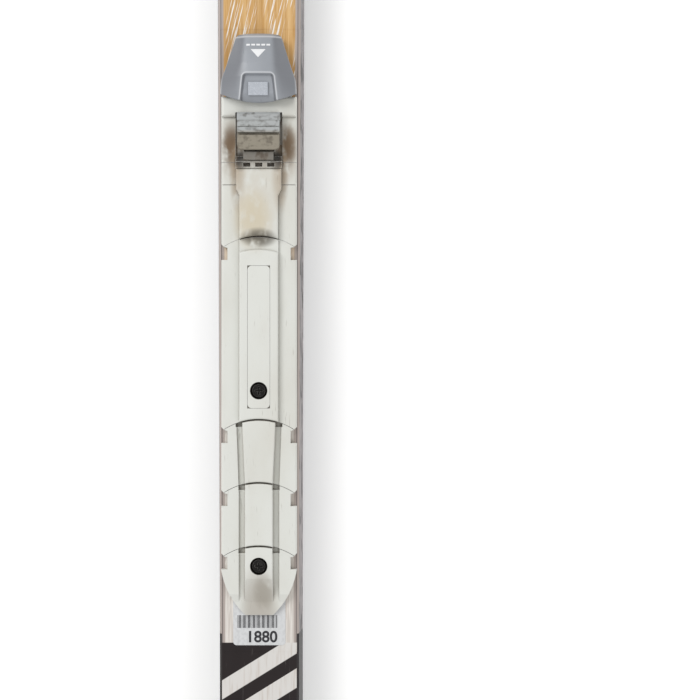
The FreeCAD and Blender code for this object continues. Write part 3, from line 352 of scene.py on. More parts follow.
@dataclass(frozen=True)
class PrintedCap:
    """The printed top sheet: pale timber with brushed white strokes, and a black tail with slanted bands.

    Places and sizes are in metres. The four places are where the black begins on the
    deck and on the flanks, and where the white wash begins and is full.
    """

    black_from: float
    side_black_from: float
    wash_from: float
    wash_to: float
    grain_size: Triple = (0.8, 26, 5)
    year_ring_size: Triple = (7, 160, 20)
    streak_size: Triple = (1.6, 45, 9)
    brush_load_size: Triple = (11, 60, 30)
    lens_size: Triple = (40, 15, 5)
    scratch_size: Triple = (0.35, 28, 9)
    scratch_strength: float = 0.25
    roughness: float = 0.34
    honey: str = "c79a5e"
    honey_light: str = "dcb883"
    honey_dark: str = "a97c45"
    wash: str = "c9c2bb"
    wash_streak: str = "b08c6c"
    stroke: str = "eeeae4"
    black: str = "231d1d"
    black_rubbed: str = "3b3434"
    band_pale: str = "d6d3cf"
    scratched: str = "cfcac4"
    side: str = "7a7475"
    side_light: str = "928b8b"
    side_dark: str = "1f1b1b"
    shoulder: str = "aea39d"
    band: float = 12.0 * MM
    band_gap: float = 9.0 * MM
    band_slope: float = 0.62
    band_count: int = 4
    band_lead: float = 9.0 * MM
    band_soft: float = 0.015
    print_edge: float = 0.4 * MM
    stroke_lean: float = 0.24
    stroke_width: float = 1.1 * MM
    stroke_length: float = 34.0 * MM
    rim_width: float = 2.3 * MM
    rim_soft: float = 0.5 * MM
    rim_line: str = "6d6664"
    rim_line_from: float = 0.9 * MM
    rim_line_full: float = 0.6 * MM
    flank_inset: float = 3.0 * MM
    width_places: int = 24
    width_window: float = 60 * MM
    width_unit: float = 40 * MM

    def rim(self, graph: Graph) -> Socket:
        """How far a place is from the edge of the ski's flat top, in metres.

        Args:
            graph: the finish's node tree.

        Returns:
            The distance's socket.
        """
        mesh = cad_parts["cap_shell"].data
        low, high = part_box("cap_shell")
        length = high.y - low.y
        points = []
        for i in range(self.width_places + 1):
            share = i / self.width_places
            place = low.y + share * length
            near = [abs(v.co.x) for v in mesh.vertices if abs(v.co.y - place) < self.width_window]
            points.append((share, max(near) / self.width_unit))
        along = graph.sum("DIVIDE", graph.sum("SUBTRACT", graph.y, low.y), length)
        half = graph.sum("MULTIPLY", graph.curve(along, points), self.width_unit)
        inner = graph.sum("SUBTRACT", half, self.flank_inset)
        return graph.sum("SUBTRACT", inner, graph.sum("ABSOLUTE", graph.x))

    def timber(self, graph: Graph) -> Socket:
        """The timber print, honey before the binding and washed white behind it.

        Args:
            graph: the finish's node tree.

        Returns:
            The colour's socket.
        """
        grain = graph.noise(self.grain_size, 6)
        broad = graph.noise(self.year_ring_size, 3, 3.1)
        pale_grain = graph.rise(grain, 0.35, 0.7)
        honey = graph.blend(pale_grain, paint(self.honey), paint(self.honey_light))
        rings = graph.both(graph.rise(broad, 0.5, 0.75), 0.6)
        honey = graph.blend(rings, honey, paint(self.honey_dark))
        streak = graph.rise(graph.noise(self.streak_size, 4, 7.7), 0.58, 0.72)
        brushed = graph.both(graph.rise(grain, 0.4, 0.7), 0.6)
        wash = graph.blend(brushed, paint(self.wash), paint(self.stroke))
        wash = graph.blend(graph.both(streak, 0.75), wash, paint(self.wash_streak))
        return graph.blend(graph.rise(graph.y, self.wash_from, self.wash_to), honey, wash)

    def strokes(self, graph: Graph) -> Socket:
        """Where the white brush has left its hairs.

        Args:
            graph: the finish's node tree.

        Returns:
            The share's socket.
        """
        lean = graph.sum("SUBTRACT", graph.x, graph.sum("MULTIPLY", graph.y, self.stroke_lean))
        place = graph.node("ShaderNodeCombineXYZ", X=lean, Y=graph.y, Z=0.0)
        spread = graph.node("ShaderNodeMapping", Vector=place.outputs[0])
        spread.inputs["Scale"].default_value = (1 / self.stroke_width, 1 / self.stroke_length, 1.0)
        hairs = graph.node("ShaderNodeTexNoise", Vector=spread.outputs[0], Scale=1.0, Detail=3.0)
        load = graph.noise(self.brush_load_size, 2, 5.3)
        return graph.both(graph.rise(hairs.outputs["Fac"], 0.53, 0.61), graph.rise(load, 0.44, 0.56))

    def bands(self, graph: Graph) -> Socket:
        """Where the slanted bands cross the black tail.

        Args:
            graph: the finish's node tree.

        Returns:
            The share's socket.
        """
        lean = graph.sum("SUBTRACT", graph.y, graph.sum("MULTIPLY", graph.x, self.band_slope))
        period = self.band + self.band_gap
        run = graph.sum("SUBTRACT", self.black_from - self.band_lead, lean)
        turn = graph.sum("FRACT", graph.sum("DIVIDE", run, period))
        filled = self.band / period
        outer = filled + self.band_soft * (1 - filled)
        inside = graph.rise(turn, outer, filled - self.band_soft)
        started = graph.rise(run, 0.0, self.print_edge)
        ended = graph.rise(run, self.band_count * period, self.band_count * period - self.print_edge)
        return graph.both(inside, started, ended)

    def deck(self, graph: Graph) -> Socket:
        """The flat top: the print, the pale rim with its dark line, and the black tail.

        Args:
            graph: the finish's node tree.

        Returns:
            The colour's socket.
        """
        top = graph.blend(self.strokes(graph), self.timber(graph), paint(self.stroke))
        rubbed = graph.both(graph.noise((6, 30, 9)), 0.25)
        black = graph.blend(rubbed, paint(self.black), paint(self.black_rubbed))
        grain = graph.rise(graph.noise((1.5, 22, 9), 4), 0.45, 0.7)
        pale = graph.blend(grain, paint(self.band_pale), paint(self.wash))
        tail = graph.blend(self.bands(graph), black, pale)
        rim = self.rim(graph)
        border = graph.rise(rim, self.rim_width, self.rim_width - self.rim_soft)
        top = graph.blend(border, top, paint(self.shoulder))
        line = graph.both(graph.rise(rim, self.rim_line_from, self.rim_line_full), 0.75)
        top = graph.blend(line, top, paint(self.rim_line))
        behind = graph.rise(graph.y, self.black_from, self.black_from - self.print_edge)
        return graph.blend(behind, top, tail)

    def flank(self, graph: Graph, slope: Socket) -> Socket:
        """The sloping sides: grey with dark lens shapes, a pale shoulder and the black tail.

        Args:
            graph: the finish's node tree.
            slope: how far a face leans sideways, 0 on the deck and 1 on an upright side.

        Returns:
            The colour's socket.
        """
        lens = graph.noise(self.lens_size, 1.0, 2.2)
        cloud = graph.rise(graph.noise((30, 60, 3), 3, 8.8), 0.4, 0.6)
        side = graph.blend(cloud, paint(self.side), paint(self.side_light))
        side = graph.blend(graph.rise(lens, 0.56, 0.58), side, paint(self.side_dark))
        shoulder = graph.both(graph.rise(slope, 0.15, 0.3), graph.rise(slope, 0.93, 0.85))
        side = graph.blend(shoulder, side, paint(self.shoulder))
        behind = graph.rise(graph.y, self.side_black_from, self.side_black_from - self.print_edge)
        return graph.blend(behind, side, paint(self.black))

    def material(self) -> Material:
        """Makes the finish.

        Returns:
            The finished material.
        """
        graph = Graph("cap_print")
        slope = graph.sum("ABSOLUTE", graph.facing["X"])
        colour = graph.blend(graph.rise(slope, 0.1, 0.16), self.deck(graph), self.flank(graph, slope))
        scratch = graph.rise(graph.noise(self.scratch_size, 2, 9.1), 0.72, 0.76)
        colour = graph.blend(graph.both(scratch, self.scratch_strength), colour, paint(self.scratched))
        rough = graph.sum("ADD", self.roughness, graph.both(graph.noise((9, 40, 9), 4), 0.14))
        graph.relief((graph.noise((0.9, 70, 5), 5), 0.015), (scratch, -0.01), rounded=False)
        return graph.done(colour, rough, Specular_IOR_Level=0.2, Coat_Weight=0.06, Coat_Roughness=0.2)


@dataclass(frozen=True)
class StainAndShade:
    """One patch laid on the plastic, seen from above, in metres: mud, a rubbed place, or painted shade.

    An even patch is smooth, and any other is broken up into clouds.
    """

    centre: Pair
    reach: Pair
    colour: str
    strength: float
    even: bool = False


@dataclass(frozen=True)
class MouldedPlastic:
    """Hard moulded plastic with a fine orange-peel skin, painted shade in its crevices, painted highlights
    on its edges, and laid-on patches of mud, rubbing and painted shade.
    """

    name: str
    colour: str
    shade: str
    dirt_and_crevice_shade: str
    stains_and_shade: tuple[StainAndShade, ...] = ()
    roughness: float = 0.4
    crevice_shade_reach: float = 2.6
    crevice_shade_strength: float = 0.9
    edge_colour: str = "f2f2ee"
    edge_strength: float = 0.5
    edge_radius: float = 0.5
    edge_from: str = ""
    flank_shade: str = ""
    flank_strength: float = 0.85
    tone_size: Triple = (26, 60, 20)
    cloud_size: Triple = (6, 9, 6)
    speck_size: Triple = (0.5, 0.7, 0.5)
    speck_strength: float = 0.35
    rub_size: Triple = (1.2, 14, 3)
    rub_strength: float = 0.22
    rub_depth: float = 0.015
    skin_size: Triple = (0.45, 0.45, 0.45)
    skin_depth: float = 0.012
    gloss_size: Triple = (8, 8, 8)

    def soiled_and_shaded(self, graph: Graph, colour: Socket) -> Socket:
        """Lays the patches of mud, rubbing and painted shade on the plastic's own colour.

        Args:
            graph: the finish's node tree.
            colour: the clean plastic's colour.

        Returns:
            The colour's socket, with its patches laid on.
        """
        cloud = graph.rise(graph.noise(self.cloud_size, 5, 4.4), 0.22, 0.55)
        for blot in self.stains_and_shade:
            share = graph.both(graph.patch(blot.centre, blot.reach), blot.strength)
            share = share if blot.even else graph.both(share, cloud)
            colour = graph.blend(share, colour, paint(blot.colour))
        return colour

    def material(self) -> Material:
        """Makes the finish.

        Returns:
            The finished material.
        """
        graph = Graph(self.name)
        tone = graph.rise(graph.noise(self.tone_size, 4), 0.35, 0.7)
        colour = graph.blend(tone, paint(self.colour), paint(self.shade))
        # Painted shade: faces that lean sideways are darkened towards flank_shade.
        if self.flank_shade:
            lean = graph.sum("ABSOLUTE", graph.facing["X"])
            shaded = graph.both(graph.rise(lean, 0.12, 0.5), self.flank_strength)
            colour = graph.blend(shaded, colour, paint(self.flank_shade))
        colour = self.soiled_and_shaded(graph, colour)
        specks = graph.rise(graph.noise(self.speck_size, 2, 1.7), 0.72, 0.76)
        rubs = graph.rise(graph.noise(self.rub_size, 4, 6.1), 0.66, 0.72)
        colour = graph.blend(graph.both(specks, self.speck_strength), colour, paint(self.dirt_and_crevice_shade))
        colour = graph.blend(graph.both(rubs, self.rub_strength), colour, paint(self.dirt_and_crevice_shade))
        # Painted shade: where ambient occlusion finds a crevice, the colour is darkened towards the brown of
        # the specks and rubs.
        crevice_shade = graph.rise(graph.crevices(self.crevice_shade_reach), 0.28, 0.72)
        colour = graph.blend(graph.both(crevice_shade, self.crevice_shade_strength), colour, paint(self.dirt_and_crevice_shade))
        # Painted highlight: edges found by the bevel node, or given in the mesh's own share, are lightened
        # towards edge_colour.
        edge = graph.painted(self.edge_from) if self.edge_from else graph.edges(self.edge_radius)
        wear_and_highlight = graph.both(edge, self.edge_strength)
        colour = graph.blend(wear_and_highlight, colour, paint(self.edge_colour))
        rough = graph.sum("ADD", self.roughness - 0.06, graph.both(graph.noise(self.gloss_size, 4), 0.14))
        graph.relief((graph.noise(self.skin_size, 2), self.skin_depth), (rubs, -self.rub_depth))
        return graph.done(colour, rough)


@dataclass(frozen=True)
class DottedPlastic:
    """The lid's inlaid pad: plastic with close raised dots for a pole tip to grip."""

    colour: str = "ccd1d8"
    shade: str = "a3a8b0"
    rubbed: str = "d4d8de"
    spacing: float = 0.75
    dot_height: float = 0.12
    roughness: float = 0.45

    def material(self) -> Material:
        """Makes the finish.

        Returns:
            The finished material.
        """
        graph = Graph("dotted_pad")
        dot = graph.rise(graph.dots(self.spacing), 0.55, 0.2)
        colour = graph.blend(dot, paint(self.shade), paint(self.colour))
        colour = graph.blend(graph.both(graph.noise((2, 2, 2), 4), 0.25), colour, paint(self.rubbed))
        graph.relief((dot, self.dot_height))
        return graph.done(colour, graph.sum("ADD", self.roughness, graph.both(dot, 0.1)))


@dataclass(frozen=True)
class WornRubber:
    """Grey rubber, pale in front, browner where the boot has rubbed it, and with painted shade in its
    grooves.
    """

    turn: float
    turn_soft: float = 1.5 * MM
    pale: str = "a9acac"
    rubbed: str = "8f887a"
    grime: str = "3f352a"
    groove_shade: str = "120e0c"
    groove_shade_reach: float = 1.6
    edge: str = "c4c2ba"
    edge_radius: float = 0.4
    cloud_size: Triple = (3.5, 2.5, 3)
    roughness: float = 0.55

    def material(self) -> Material:
        """Makes the finish.

        Returns:
            The finished material.
        """
        graph = Graph("worn_rubber")
        along = graph.rise(graph.y, self.turn - self.turn_soft, self.turn + self.turn_soft)
        colour = graph.blend(along, paint(self.rubbed), paint(self.pale))
        cloud = graph.rise(graph.noise(self.cloud_size, 5), 0.45, 0.7)
        colour = graph.blend(graph.both(cloud, 0.55), colour, paint(self.grime))
        # Painted shade: where ambient occlusion finds a crevice, the rubber is darkened nearly to black.
        crevice_shade = graph.rise(graph.crevices(self.groove_shade_reach), 0.3, 0.8)
        colour = graph.blend(graph.both(crevice_shade, 0.95), colour, paint(self.groove_shade))
        colour = graph.blend(graph.both(graph.edges(self.edge_radius), 0.4), colour, paint(self.edge))
        rough = graph.sum("ADD", self.roughness, graph.both(graph.noise((2, 2, 2), 4), 0.25))
        graph.relief((graph.noise((0.5, 0.5, 0.5), 3), 0.03), (graph.noise((4, 1, 4), 3, 2), 0.05))
        return graph.done(colour, rough, Specular_IOR_Level=0.35)


@dataclass(frozen=True)
class WornMetal:
    """Metal with drawn lines, scratches, dull patches and edges rubbed bright."""

    name: str
    colour: str
    patch: str
    edge: str
    metallic: float = 1.0
    roughness: float = 0.35
    patch_strength: float = 0.6
    patch_size: Triple = (4, 5, 4)
    line_size: Triple = (5, 0.25, 5)
    edge_radius: float = 0.35
    edge_strength: float = 0.8

    def material(self) -> Material:
        """Makes the finish.

        Returns:
            The finished material.
        """
        graph = Graph(self.name)
        cloud = graph.rise(graph.noise(self.patch_size, 5), 0.45, 0.7)
        lines = graph.noise(self.line_size, 3, 3)
        colour = graph.blend(graph.both(cloud, self.patch_strength), paint(self.colour), paint(self.patch))
        wear_and_highlight = graph.both(graph.edges(self.edge_radius), self.edge_strength)
        colour = graph.blend(wear_and_highlight, colour, paint(self.edge))
        rough = graph.sum("ADD", self.roughness, graph.both(cloud, 0.25))
        graph.relief((lines, 0.01), (graph.noise((0.6, 0.6, 0.6), 3), 0.012))
        return graph.done(colour, rough, Metallic=self.metallic)


@dataclass(frozen=True)
class Fibrous:
    """A material with long fibres along the ski: timber, glass cloth, paper or ground running base."""

    name: str
    colour: str
    fibre: str
    fibre_size: Triple
    roughness: float
    depth: float = 0.02
    coat: float = 0.0

    def material(self) -> Material:
        """Makes the finish.

        Returns:
            The finished material.
        """
        graph = Graph(self.name)
        fibres = graph.noise(self.fibre_size, 5)
        cloud = graph.noise((20, 50, 20), 4, 2.5)
        colour = graph.blend(graph.rise(fibres, 0.38, 0.68), paint(self.colour), paint(self.fibre))
        colour = graph.blend(graph.both(graph.rise(cloud, 0.5, 0.8), 0.3), colour, paint(self.fibre))
        rough = graph.sum("ADD", self.roughness, graph.both(fibres, 0.12))
        graph.relief((fibres, self.depth))
        return graph.done(colour, rough, Coat_Weight=self.coat)


@dataclass(frozen=True)
class Ink:
    """Printed or inlaid colour, thin in places."""

    name: str
    colour: str
    thin: str

    def material(self) -> Material:
        """Makes the finish.

        Returns:
            The finished material.
        """
        graph = Graph(self.name)
        wear_and_highlight = graph.rise(graph.noise((0.6, 0.6, 0.6), 4), 0.55, 0.75)
        colour = graph.blend(graph.both(wear_and_highlight, 0.4), paint(self.colour), paint(self.thin))
        graph.relief((wear_and_highlight, -0.01))
        return graph.done(colour, graph.sum("ADD", 0.4, graph.both(wear_and_highlight, 0.2)))


def dress(material: Material, *names: str) -> None:
    """Gives the named nodes a material.

    Args:
        material: the finish.
        names: the nodes that wear it.
    """
    for name in names:
        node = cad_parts[name]
        node.data.materials.clear()
        node.data.materials.append(material)
        LOG.info("%s wears %s", name, material.name)


def height_on(ground: bpy.types.Object, x: float, y: float) -> float:
    """How high a piece's upper surface is.

    Args:
        ground: the piece.
        x: the place across the ski.
        y: the place along the ski.

    Returns:
        The height in metres.
    """
    top = max(corner[2] for corner in ground.bound_box)
    hit, point, _, _ = ground.ray_cast(Vector((x, y, top + 1.0)), Vector((0, 0, -1)))
    return point.z if hit else top


def inlay(name: str, ground: bpy.types.Object, outlines: list[list[Pair]], proud: float) -> bpy.types.Object:
    """Thin plates that follow a piece's upper surface.

    Args:
        name: the new piece's name.
        ground: the piece they lie on.
        outlines: the corners of each plate, counter-clockwise from above.
        proud: how far they stand above the surface, in metres.

    Returns:
        The piece.
    """
    mesh = bpy.data.meshes.new(name)
    shape = bmesh.new()
    for outline in outlines:
        heights = [height_on(ground, x, y) for x, y in outline]
        top = [shape.verts.new((x, y, z + proud)) for (x, y), z in zip(outline, heights)]
        foot = [shape.verts.new((x, y, z - proud)) for (x, y), z in zip(outline, heights)]
        shape.faces.new(top)
        shape.faces.new(foot[::-1])
        for i in range(len(outline)):
            j = (i + 1) % len(outline)
            shape.faces.new((foot[i], foot[j], top[j], top[i]))
    shape.to_mesh(mesh)
    shape.free()
    piece = bpy.data.objects.new(name, mesh)
    bpy.context.scene.collection.objects.link(piece)
    return piece


@dataclass
class SkiBlade:
    """The ski itself, from running base to printed cap."""

    wash_lead: float = 60 * MM
    wash_length: float = 120 * MM
    black_ahead: float = 1.8 * MM
    side_black_ahead: float = 7.3 * MM

    def dress(self) -> None:
        """Dresses the layers of the ski."""
        label_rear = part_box("size_label")[0].y
        binding_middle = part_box("mid_plate")[1].y
        cap = PrintedCap(
            black_from=label_rear + self.black_ahead,
            side_black_from=label_rear + self.side_black_ahead,
            wash_from=binding_middle + self.wash_lead,
            wash_to=binding_middle + self.wash_lead - self.wash_length,
        )
        dress(cap.material(), "cap_shell")
        base = Fibrous("running_base", "1f2022", "3a3c40", (0.5, 60, 2), 0.4, 0.015)
        dress(base.material(), "running_base")
        glass = Fibrous("glass_fibre", "b9b48d", "d8d4b4", (0.6, 30, 0.6), 0.35, 0.02, 0.5)
        dress(glass.material(), "lower_laminate", "upper_laminate")
        timber = Fibrous("core_timber", "c9a470", "9f7843", (1.2, 80, 6), 0.6, 0.04)
        dress(timber.material(), "core")
        spacer = Fibrous("tip_filler", "d6d0c2", "b3ab99", (3, 9, 3), 0.55)
        dress(spacer.material(), "tip_spacer", "tail_spacer")


@dataclass
class SizeLabel:
    """The white label behind the heel plates, with its bars and the ski's length in millimetres."""

    number: str = "1880"
    bar_count: int = 34
    bars_width: float = 24.5 * MM
    bars_height: float = 7.8 * MM
    bars_shift: float = -1.2 * MM
    digit_height: float = 6.7 * MM
    digit_margin: float = 2.0 * MM
    digits_shift: float = 1.5 * MM
    digit_weight: float = 0.24 * MM
    digit_share_of_line: float = 0.7
    bars_margin: float = 0.4 * MM
    proud: float = 0.02 * MM

    def paper(self) -> None:
        """Dresses the label's paper."""
        paper = Fibrous("label_paper", "d3d4d5", "c6c7c8", (2, 3, 2), 0.45, 0.01)
        dress(paper.material(), "size_label")

    def bars(self) -> bpy.types.Object:
        """Lays the upright bars, of four widths.

        Returns:
            The bars as one piece.
        """
        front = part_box("heel_plate_rear")[0].y - self.bars_margin
        step = self.bars_width / self.bar_count
        outlines = []
        for i in range(self.bar_count):
            width = step * (0.3 + 0.22 * ((i * 7 + i * i * 3) % 4))
            left = self.bars_shift - self.bars_width / 2 + i * step
            rear = front - self.bars_height
            outlines.append([(left, rear), (left + width, rear), (left + width, front), (left, front)])
        return inlay("label_bars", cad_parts["size_label"], outlines, self.proud)

    def digits(self) -> bpy.types.Object:
        """Prints the number.

        Returns:
            The digits as one mesh.
        """
        text = bpy.data.curves.new("label_digits", "FONT")
        text.body = self.number
        text.size = self.digit_height / self.digit_share_of_line
        text.align_x = "CENTER"
        text.offset = self.digit_weight
        text.extrude = self.proud
        drawn = bpy.data.objects.new("digits_drawn", text)
        bpy.context.scene.collection.objects.link(drawn)
        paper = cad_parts["size_label"]
        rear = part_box("size_label")[0].y + self.digit_margin
        mesh = bpy.data.meshes.new_from_object(drawn.evaluated_get(bpy.context.evaluated_depsgraph_get()))
        for vertex in mesh.vertices:
            vertex.co.x += self.digits_shift
            vertex.co.y += rear
            vertex.co.z += height_on(paper, vertex.co.x, vertex.co.y)
        bpy.data.objects.remove(drawn)
        piece = bpy.data.objects.new("label_digits", mesh)
        bpy.context.scene.collection.objects.link(piece)
        return piece

    def build(self) -> None:
        """Makes and dresses the label."""
        self.paper()
        ink = Ink("label_ink", "26262a", "4b4b50").material()
        for piece in (self.bars(), self.digits()):
            piece.data.materials.clear()
            piece.data.materials.append(ink)
            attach(piece, Body.SKI.value)
            LOG.info("%s rides on the ski", piece.name)


@dataclass
class PressLid:
    """The grey lid that a pole tip or a thumb presses down to open the jaw.

    Its sizes are in metres; heights are above the ski's deck.
    """

    across: int = 150
    along: int = 130
    wall: float = 1.3 * MM
    nose_half: float = 13.6 * MM
    corner_sag: float = 5.4 * MM
    shoulder_from_rear: float = 15.4 * MM
    shoulder_in: float = 0.7 * MM
    plateau_half: float = 10.6 * MM
    plateau_nose_half: float = 8.8 * MM
    blend_height: float = 1.1 * MM
    rim_under: float = 13.2 * MM
    rim_low: float = 4.9 * MM
    recess_half_front: float = 9.6 * MM
    recess_half_rear: float = 11.6 * MM
    recess_ahead: float = 2.2 * MM
    recess_rounding: float = 2.6 * MM
    recess_depth: float = 3.1 * MM
    recess_slope: float = 1.9 * MM
    lip_length: float = 5.5 * MM
    lip_drop: float = 3.6 * MM
    lip_curve: float = 1.5
    crown_fall: float = 0.25 * MM
    nose_corner_from: float = 0.93
    nose_corner_in: float = 1.3 * MM
    nose_bow: float = 0.9 * MM
    highlight_width: float = 0.5 * MM
    rim_highlight_width: float = 0.42 * MM
    nose_bevel_place: float = 2.3 * MM
    least_skirt: float = 0.3 * MM
    mark_half: float = 4.6 * MM
    mark_height: float = 5.2 * MM
    mark_from_front: float = 10.5 * MM
    bar_half: float = 7.6 * MM
    bar_width: float = 1.2 * MM
    bar_gap: float = 2.2 * MM
    dash_count: int = 5
    dash_fill: float = 0.76
    proud: float = 0.12 * MM

    def __post_init__(self) -> None:
        """Reads the lid's place from the frame."""
        self.low, self.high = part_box("release_lid")
        self.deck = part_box("toe_housing")[0].z
        self.half = self.high.x
        self.corner_y = self.low.y + self.corner_sag
        self.shoulder_y = self.low.y + self.shoulder_from_rear

    def half_width(self, y: float) -> float:
        """The lid's half width.

        Args:
            y: the place along the lid.

        Returns:
            Half the width there.
        """
        shoulder = self.half - self.shoulder_in
        if y < self.shoulder_y:
            share = (y - self.corner_y) / (self.shoulder_y - self.corner_y)
            return self.half - self.shoulder_in * max(share, 0.0) ** 2
        share = (y - self.shoulder_y) / (self.high.y - self.shoulder_y)
        width = shoulder + (self.nose_half - shoulder) * share
        rounding = max(share - self.nose_corner_from, 0.0) / (1 - self.nose_corner_from)
        return width - self.nose_corner_in * rounding ** 2

    def along_lid(self, y: float, heights: tuple[Pair, ...]) -> float:
        """A smooth line through heights along the lid.

        Args:
            y: the place along the lid.
            heights: places as distances from the shoulder, rear first, and the heights there.

        Returns:
            The height.
        """
        place = y - self.shoulder_y
        for (start, first), (end, second) in zip(heights, heights[1:]):
            if place <= end:
                share = min(max((place - start) / (end - start), 0.0), 1.0)
                return first + (second - first) * share
        return heights[-1][1]

    def crown(self, y: float) -> float:
        """The plateau's height.

        Args:
            y: the place along the lid.

        Returns:
            The height above the deck.
        """
        front = self.high.y - self.shoulder_y
        rows = ((-self.shoulder_from_rear, 18.7), (-9 * MM, 19.4), (0.0, 20.0), (8 * MM, 19.2),
                (16 * MM, 16.6), (front - 3.2 * MM, 13.4), (front - 1.2 * MM, 11.4), (front, 9.2))
        return self.along_lid(y, rows) * MM

    def eaves(self, y: float) -> float:
        """The height of the lid's side edge.

        Args:
            y: the place along the lid.

        Returns:
            The height above the deck.
        """
        front = self.high.y - self.shoulder_y
        rows = ((-self.shoulder_from_rear, 13.9), (0.0, 12.6), (14 * MM, 10.6), (front - 3 * MM, 8.0),
                (front, 6.6))
        return self.along_lid(y, rows) * MM

    def recess(self, x: float, y: float) -> float:
        """How far inside the recess a place is.

        Args:
            x: the place across the lid.
            y: the place along the lid.

        Returns:
            The distance in metres, below 0 outside.
        """
        front = self.shoulder_y + self.recess_ahead
        share = (front - y) / (front - self.low.y)
        side = self.recess_half_front + (self.recess_half_rear - self.recess_half_front) * share
        ahead = front - y
        beside = side - abs(x)
        corner = self.recess_rounding
        if ahead < corner and beside < corner:
            return corner - math.hypot(corner - ahead, corner - beside)
        return min(ahead, beside)

    def height(self, x: float, y: float) -> float:
        """The lid's outer surface.

        Args:
            x: the place across the lid.
            y: the place along the lid.

        Returns:
            The height above the deck.
        """
        half = self.half_width(y)
        share = (y - self.low.y) / (self.high.y - self.low.y)
        plateau = self.plateau_half + (self.plateau_nose_half - self.plateau_half) * share
        top = self.crown(y) - self.crown_fall * (x / plateau) ** 2
        eaves = self.eaves(y)
        fall = (self.crown(y) - eaves) / (half - plateau)
        side = eaves + (half - abs(x)) * fall
        gap = (side - top) / self.blend_height
        surface = top - self.blend_height * math.log1p(math.exp(-gap)) if gap > -30 else side
        inside = self.recess(x, y) / self.recess_slope
        if inside <= 0:
            return surface
        lip = min(max((self.low.y + self.lip_length - y) / self.lip_length, 0.0), 1.0)
        floor = self.high.z - self.deck - self.recess_depth - self.lip_drop * lip ** self.lip_curve
        share = min(inside, 1.0)
        share = share * share * (3 - 2 * share)
        return surface + (min(floor, surface) - surface) * share

    def bright(self, x: float, y: float) -> float:
        """How strongly a place carries the painted highlight: the recess rim, the side edges and the nose
        bevel.

        Args:
            x: the place across the lid.
            y: the place along the lid.

        Returns:
            A share from 0 to 1.
        """
        # Painted highlight: light lines along the recess rim, the side edges and the nose bevel.
        rim = math.exp(-(self.recess(x, y) / self.rim_highlight_width) ** 2)
        side = math.exp(-((self.half_width(y) - abs(x)) / self.highlight_width) ** 2)
        nose = math.exp(-((self.high.y - y - self.nose_bevel_place) / self.highlight_width) ** 2)
        return max(rim, 0.75 * side, 0.8 * nose)

    def surface(self, shape: bmesh.types.BMesh) -> list[list[bmesh.types.BMVert]]:
        """Draws the outer surface, and keeps on it how strongly each place carries the painted highlight.

        Args:
            shape: the mesh it is drawn in.

        Returns:
            The rows of its points, from the rear edge to the nose.
        """
        wear_and_highlight = shape.verts.layers.float.new("bright")
        rows = []
        for j in range(self.along + 1):
            v = j / self.along
            row = []
            for i in range(self.across + 1):
                u = 2 * i / self.across - 1
                nominal = self.corner_y + (self.high.y - self.corner_y) * v
                x = u * self.half_width(nominal)
                rear = self.corner_y - self.corner_sag * (1 - (x / self.half) ** 2)
                front = self.high.y - self.nose_bow * (x / self.nose_half) ** 2
                y = rear + (front - rear) * v
                point = shape.verts.new((x, y, self.deck + self.height(x, y)))
                point[wear_and_highlight] = self.bright(x, y)
                row.append(point)
            rows.append(row)
        for near, far in zip(rows, rows[1:]):
            for i in range(self.across):
                shape.faces.new((near[i], near[i + 1], far[i + 1], far[i]))
        return rows

    def skirt(self, shape: bmesh.types.BMesh, rows: list[list[bmesh.types.BMVert]]) -> None:
        """Hangs the side walls from the surface's outline.

        Args:
            shape: the mesh that holds the surface.
            rows: the surface's points.
        """
        right = [row[-1] for row in rows[1:]]
        left = [row[0] for row in rows[-2:0:-1]]
        rim = rows[0] + right + rows[-1][-2::-1] + left
        feet = []
        for point in rim:
            at_rear = point.co.y < self.corner_y + self.least_skirt
            under = self.rim_under if at_rear else self.rim_low
            foot = min(self.deck + under, point.co.z - self.least_skirt)
            feet.append(shape.verts.new((point.co.x, point.co.y, foot)))
        for i, point in enumerate(rim):
            j = (i + 1) % len(rim)
            shape.faces.new((point, feet[i], feet[j], rim[j]))

    def shell(self) -> bpy.types.Object:
        """Makes the lid's shell and gives it its wall.

        Returns:
            The shell.
        """
        mesh = bpy.data.meshes.new("lid_shell")
        shape = bmesh.new()
        rows = self.surface(shape)
        self.skirt(shape, rows)
        bmesh.ops.recalc_face_normals(shape, faces=shape.faces)
        if rows[self.along // 2][self.across // 2].normal.z < 0:
            bmesh.ops.reverse_faces(shape, faces=shape.faces)
        shape.to_mesh(mesh)
        shape.free()
        raw = bpy.data.objects.new("lid_raw", mesh)
        bpy.context.scene.collection.objects.link(raw)
        wall = raw.modifiers.new("wall", "SOLIDIFY")
        wall.thickness = self.wall
        wall.offset = -1.0
        graph = bpy.context.evaluated_depsgraph_get()
        walled = bpy.data.meshes.new_from_object(raw.evaluated_get(graph))
        piece = bpy.data.objects.new("lid_shell", walled)
        bpy.data.objects.remove(raw)
        bpy.context.scene.collection.objects.link(piece)
        for face in piece.data.polygons:
            face.use_smooth = True
        return piece

    def marks(self, shell: bpy.types.Object) -> bpy.types.Object:
        """Inlays a broken bar and the arrowhead that points to the pad.

        Args:
            shell: the lid they lie on.

        Returns:
            The marks as one piece.
        """
        top = self.high.y - self.mark_from_front
        tip = (0.0, top - self.mark_height)
        outlines = [[tip, (self.mark_half, top), (0.0, top), (-self.mark_half, top)]]
        step = 2 * self.bar_half / self.dash_count
        low = top + self.bar_gap
        for i in range(self.dash_count):
            left = -self.bar_half + (i + (1 - self.dash_fill) / 2) * step
            right = left + self.dash_fill * step
            high = low + self.bar_width
            outlines.append([(left, low), (right, low), (right, high), (left, high)])
        return inlay("press_mark", shell, outlines, self.proud)

    def build(self) -> None:
        """Makes and dresses the lid."""
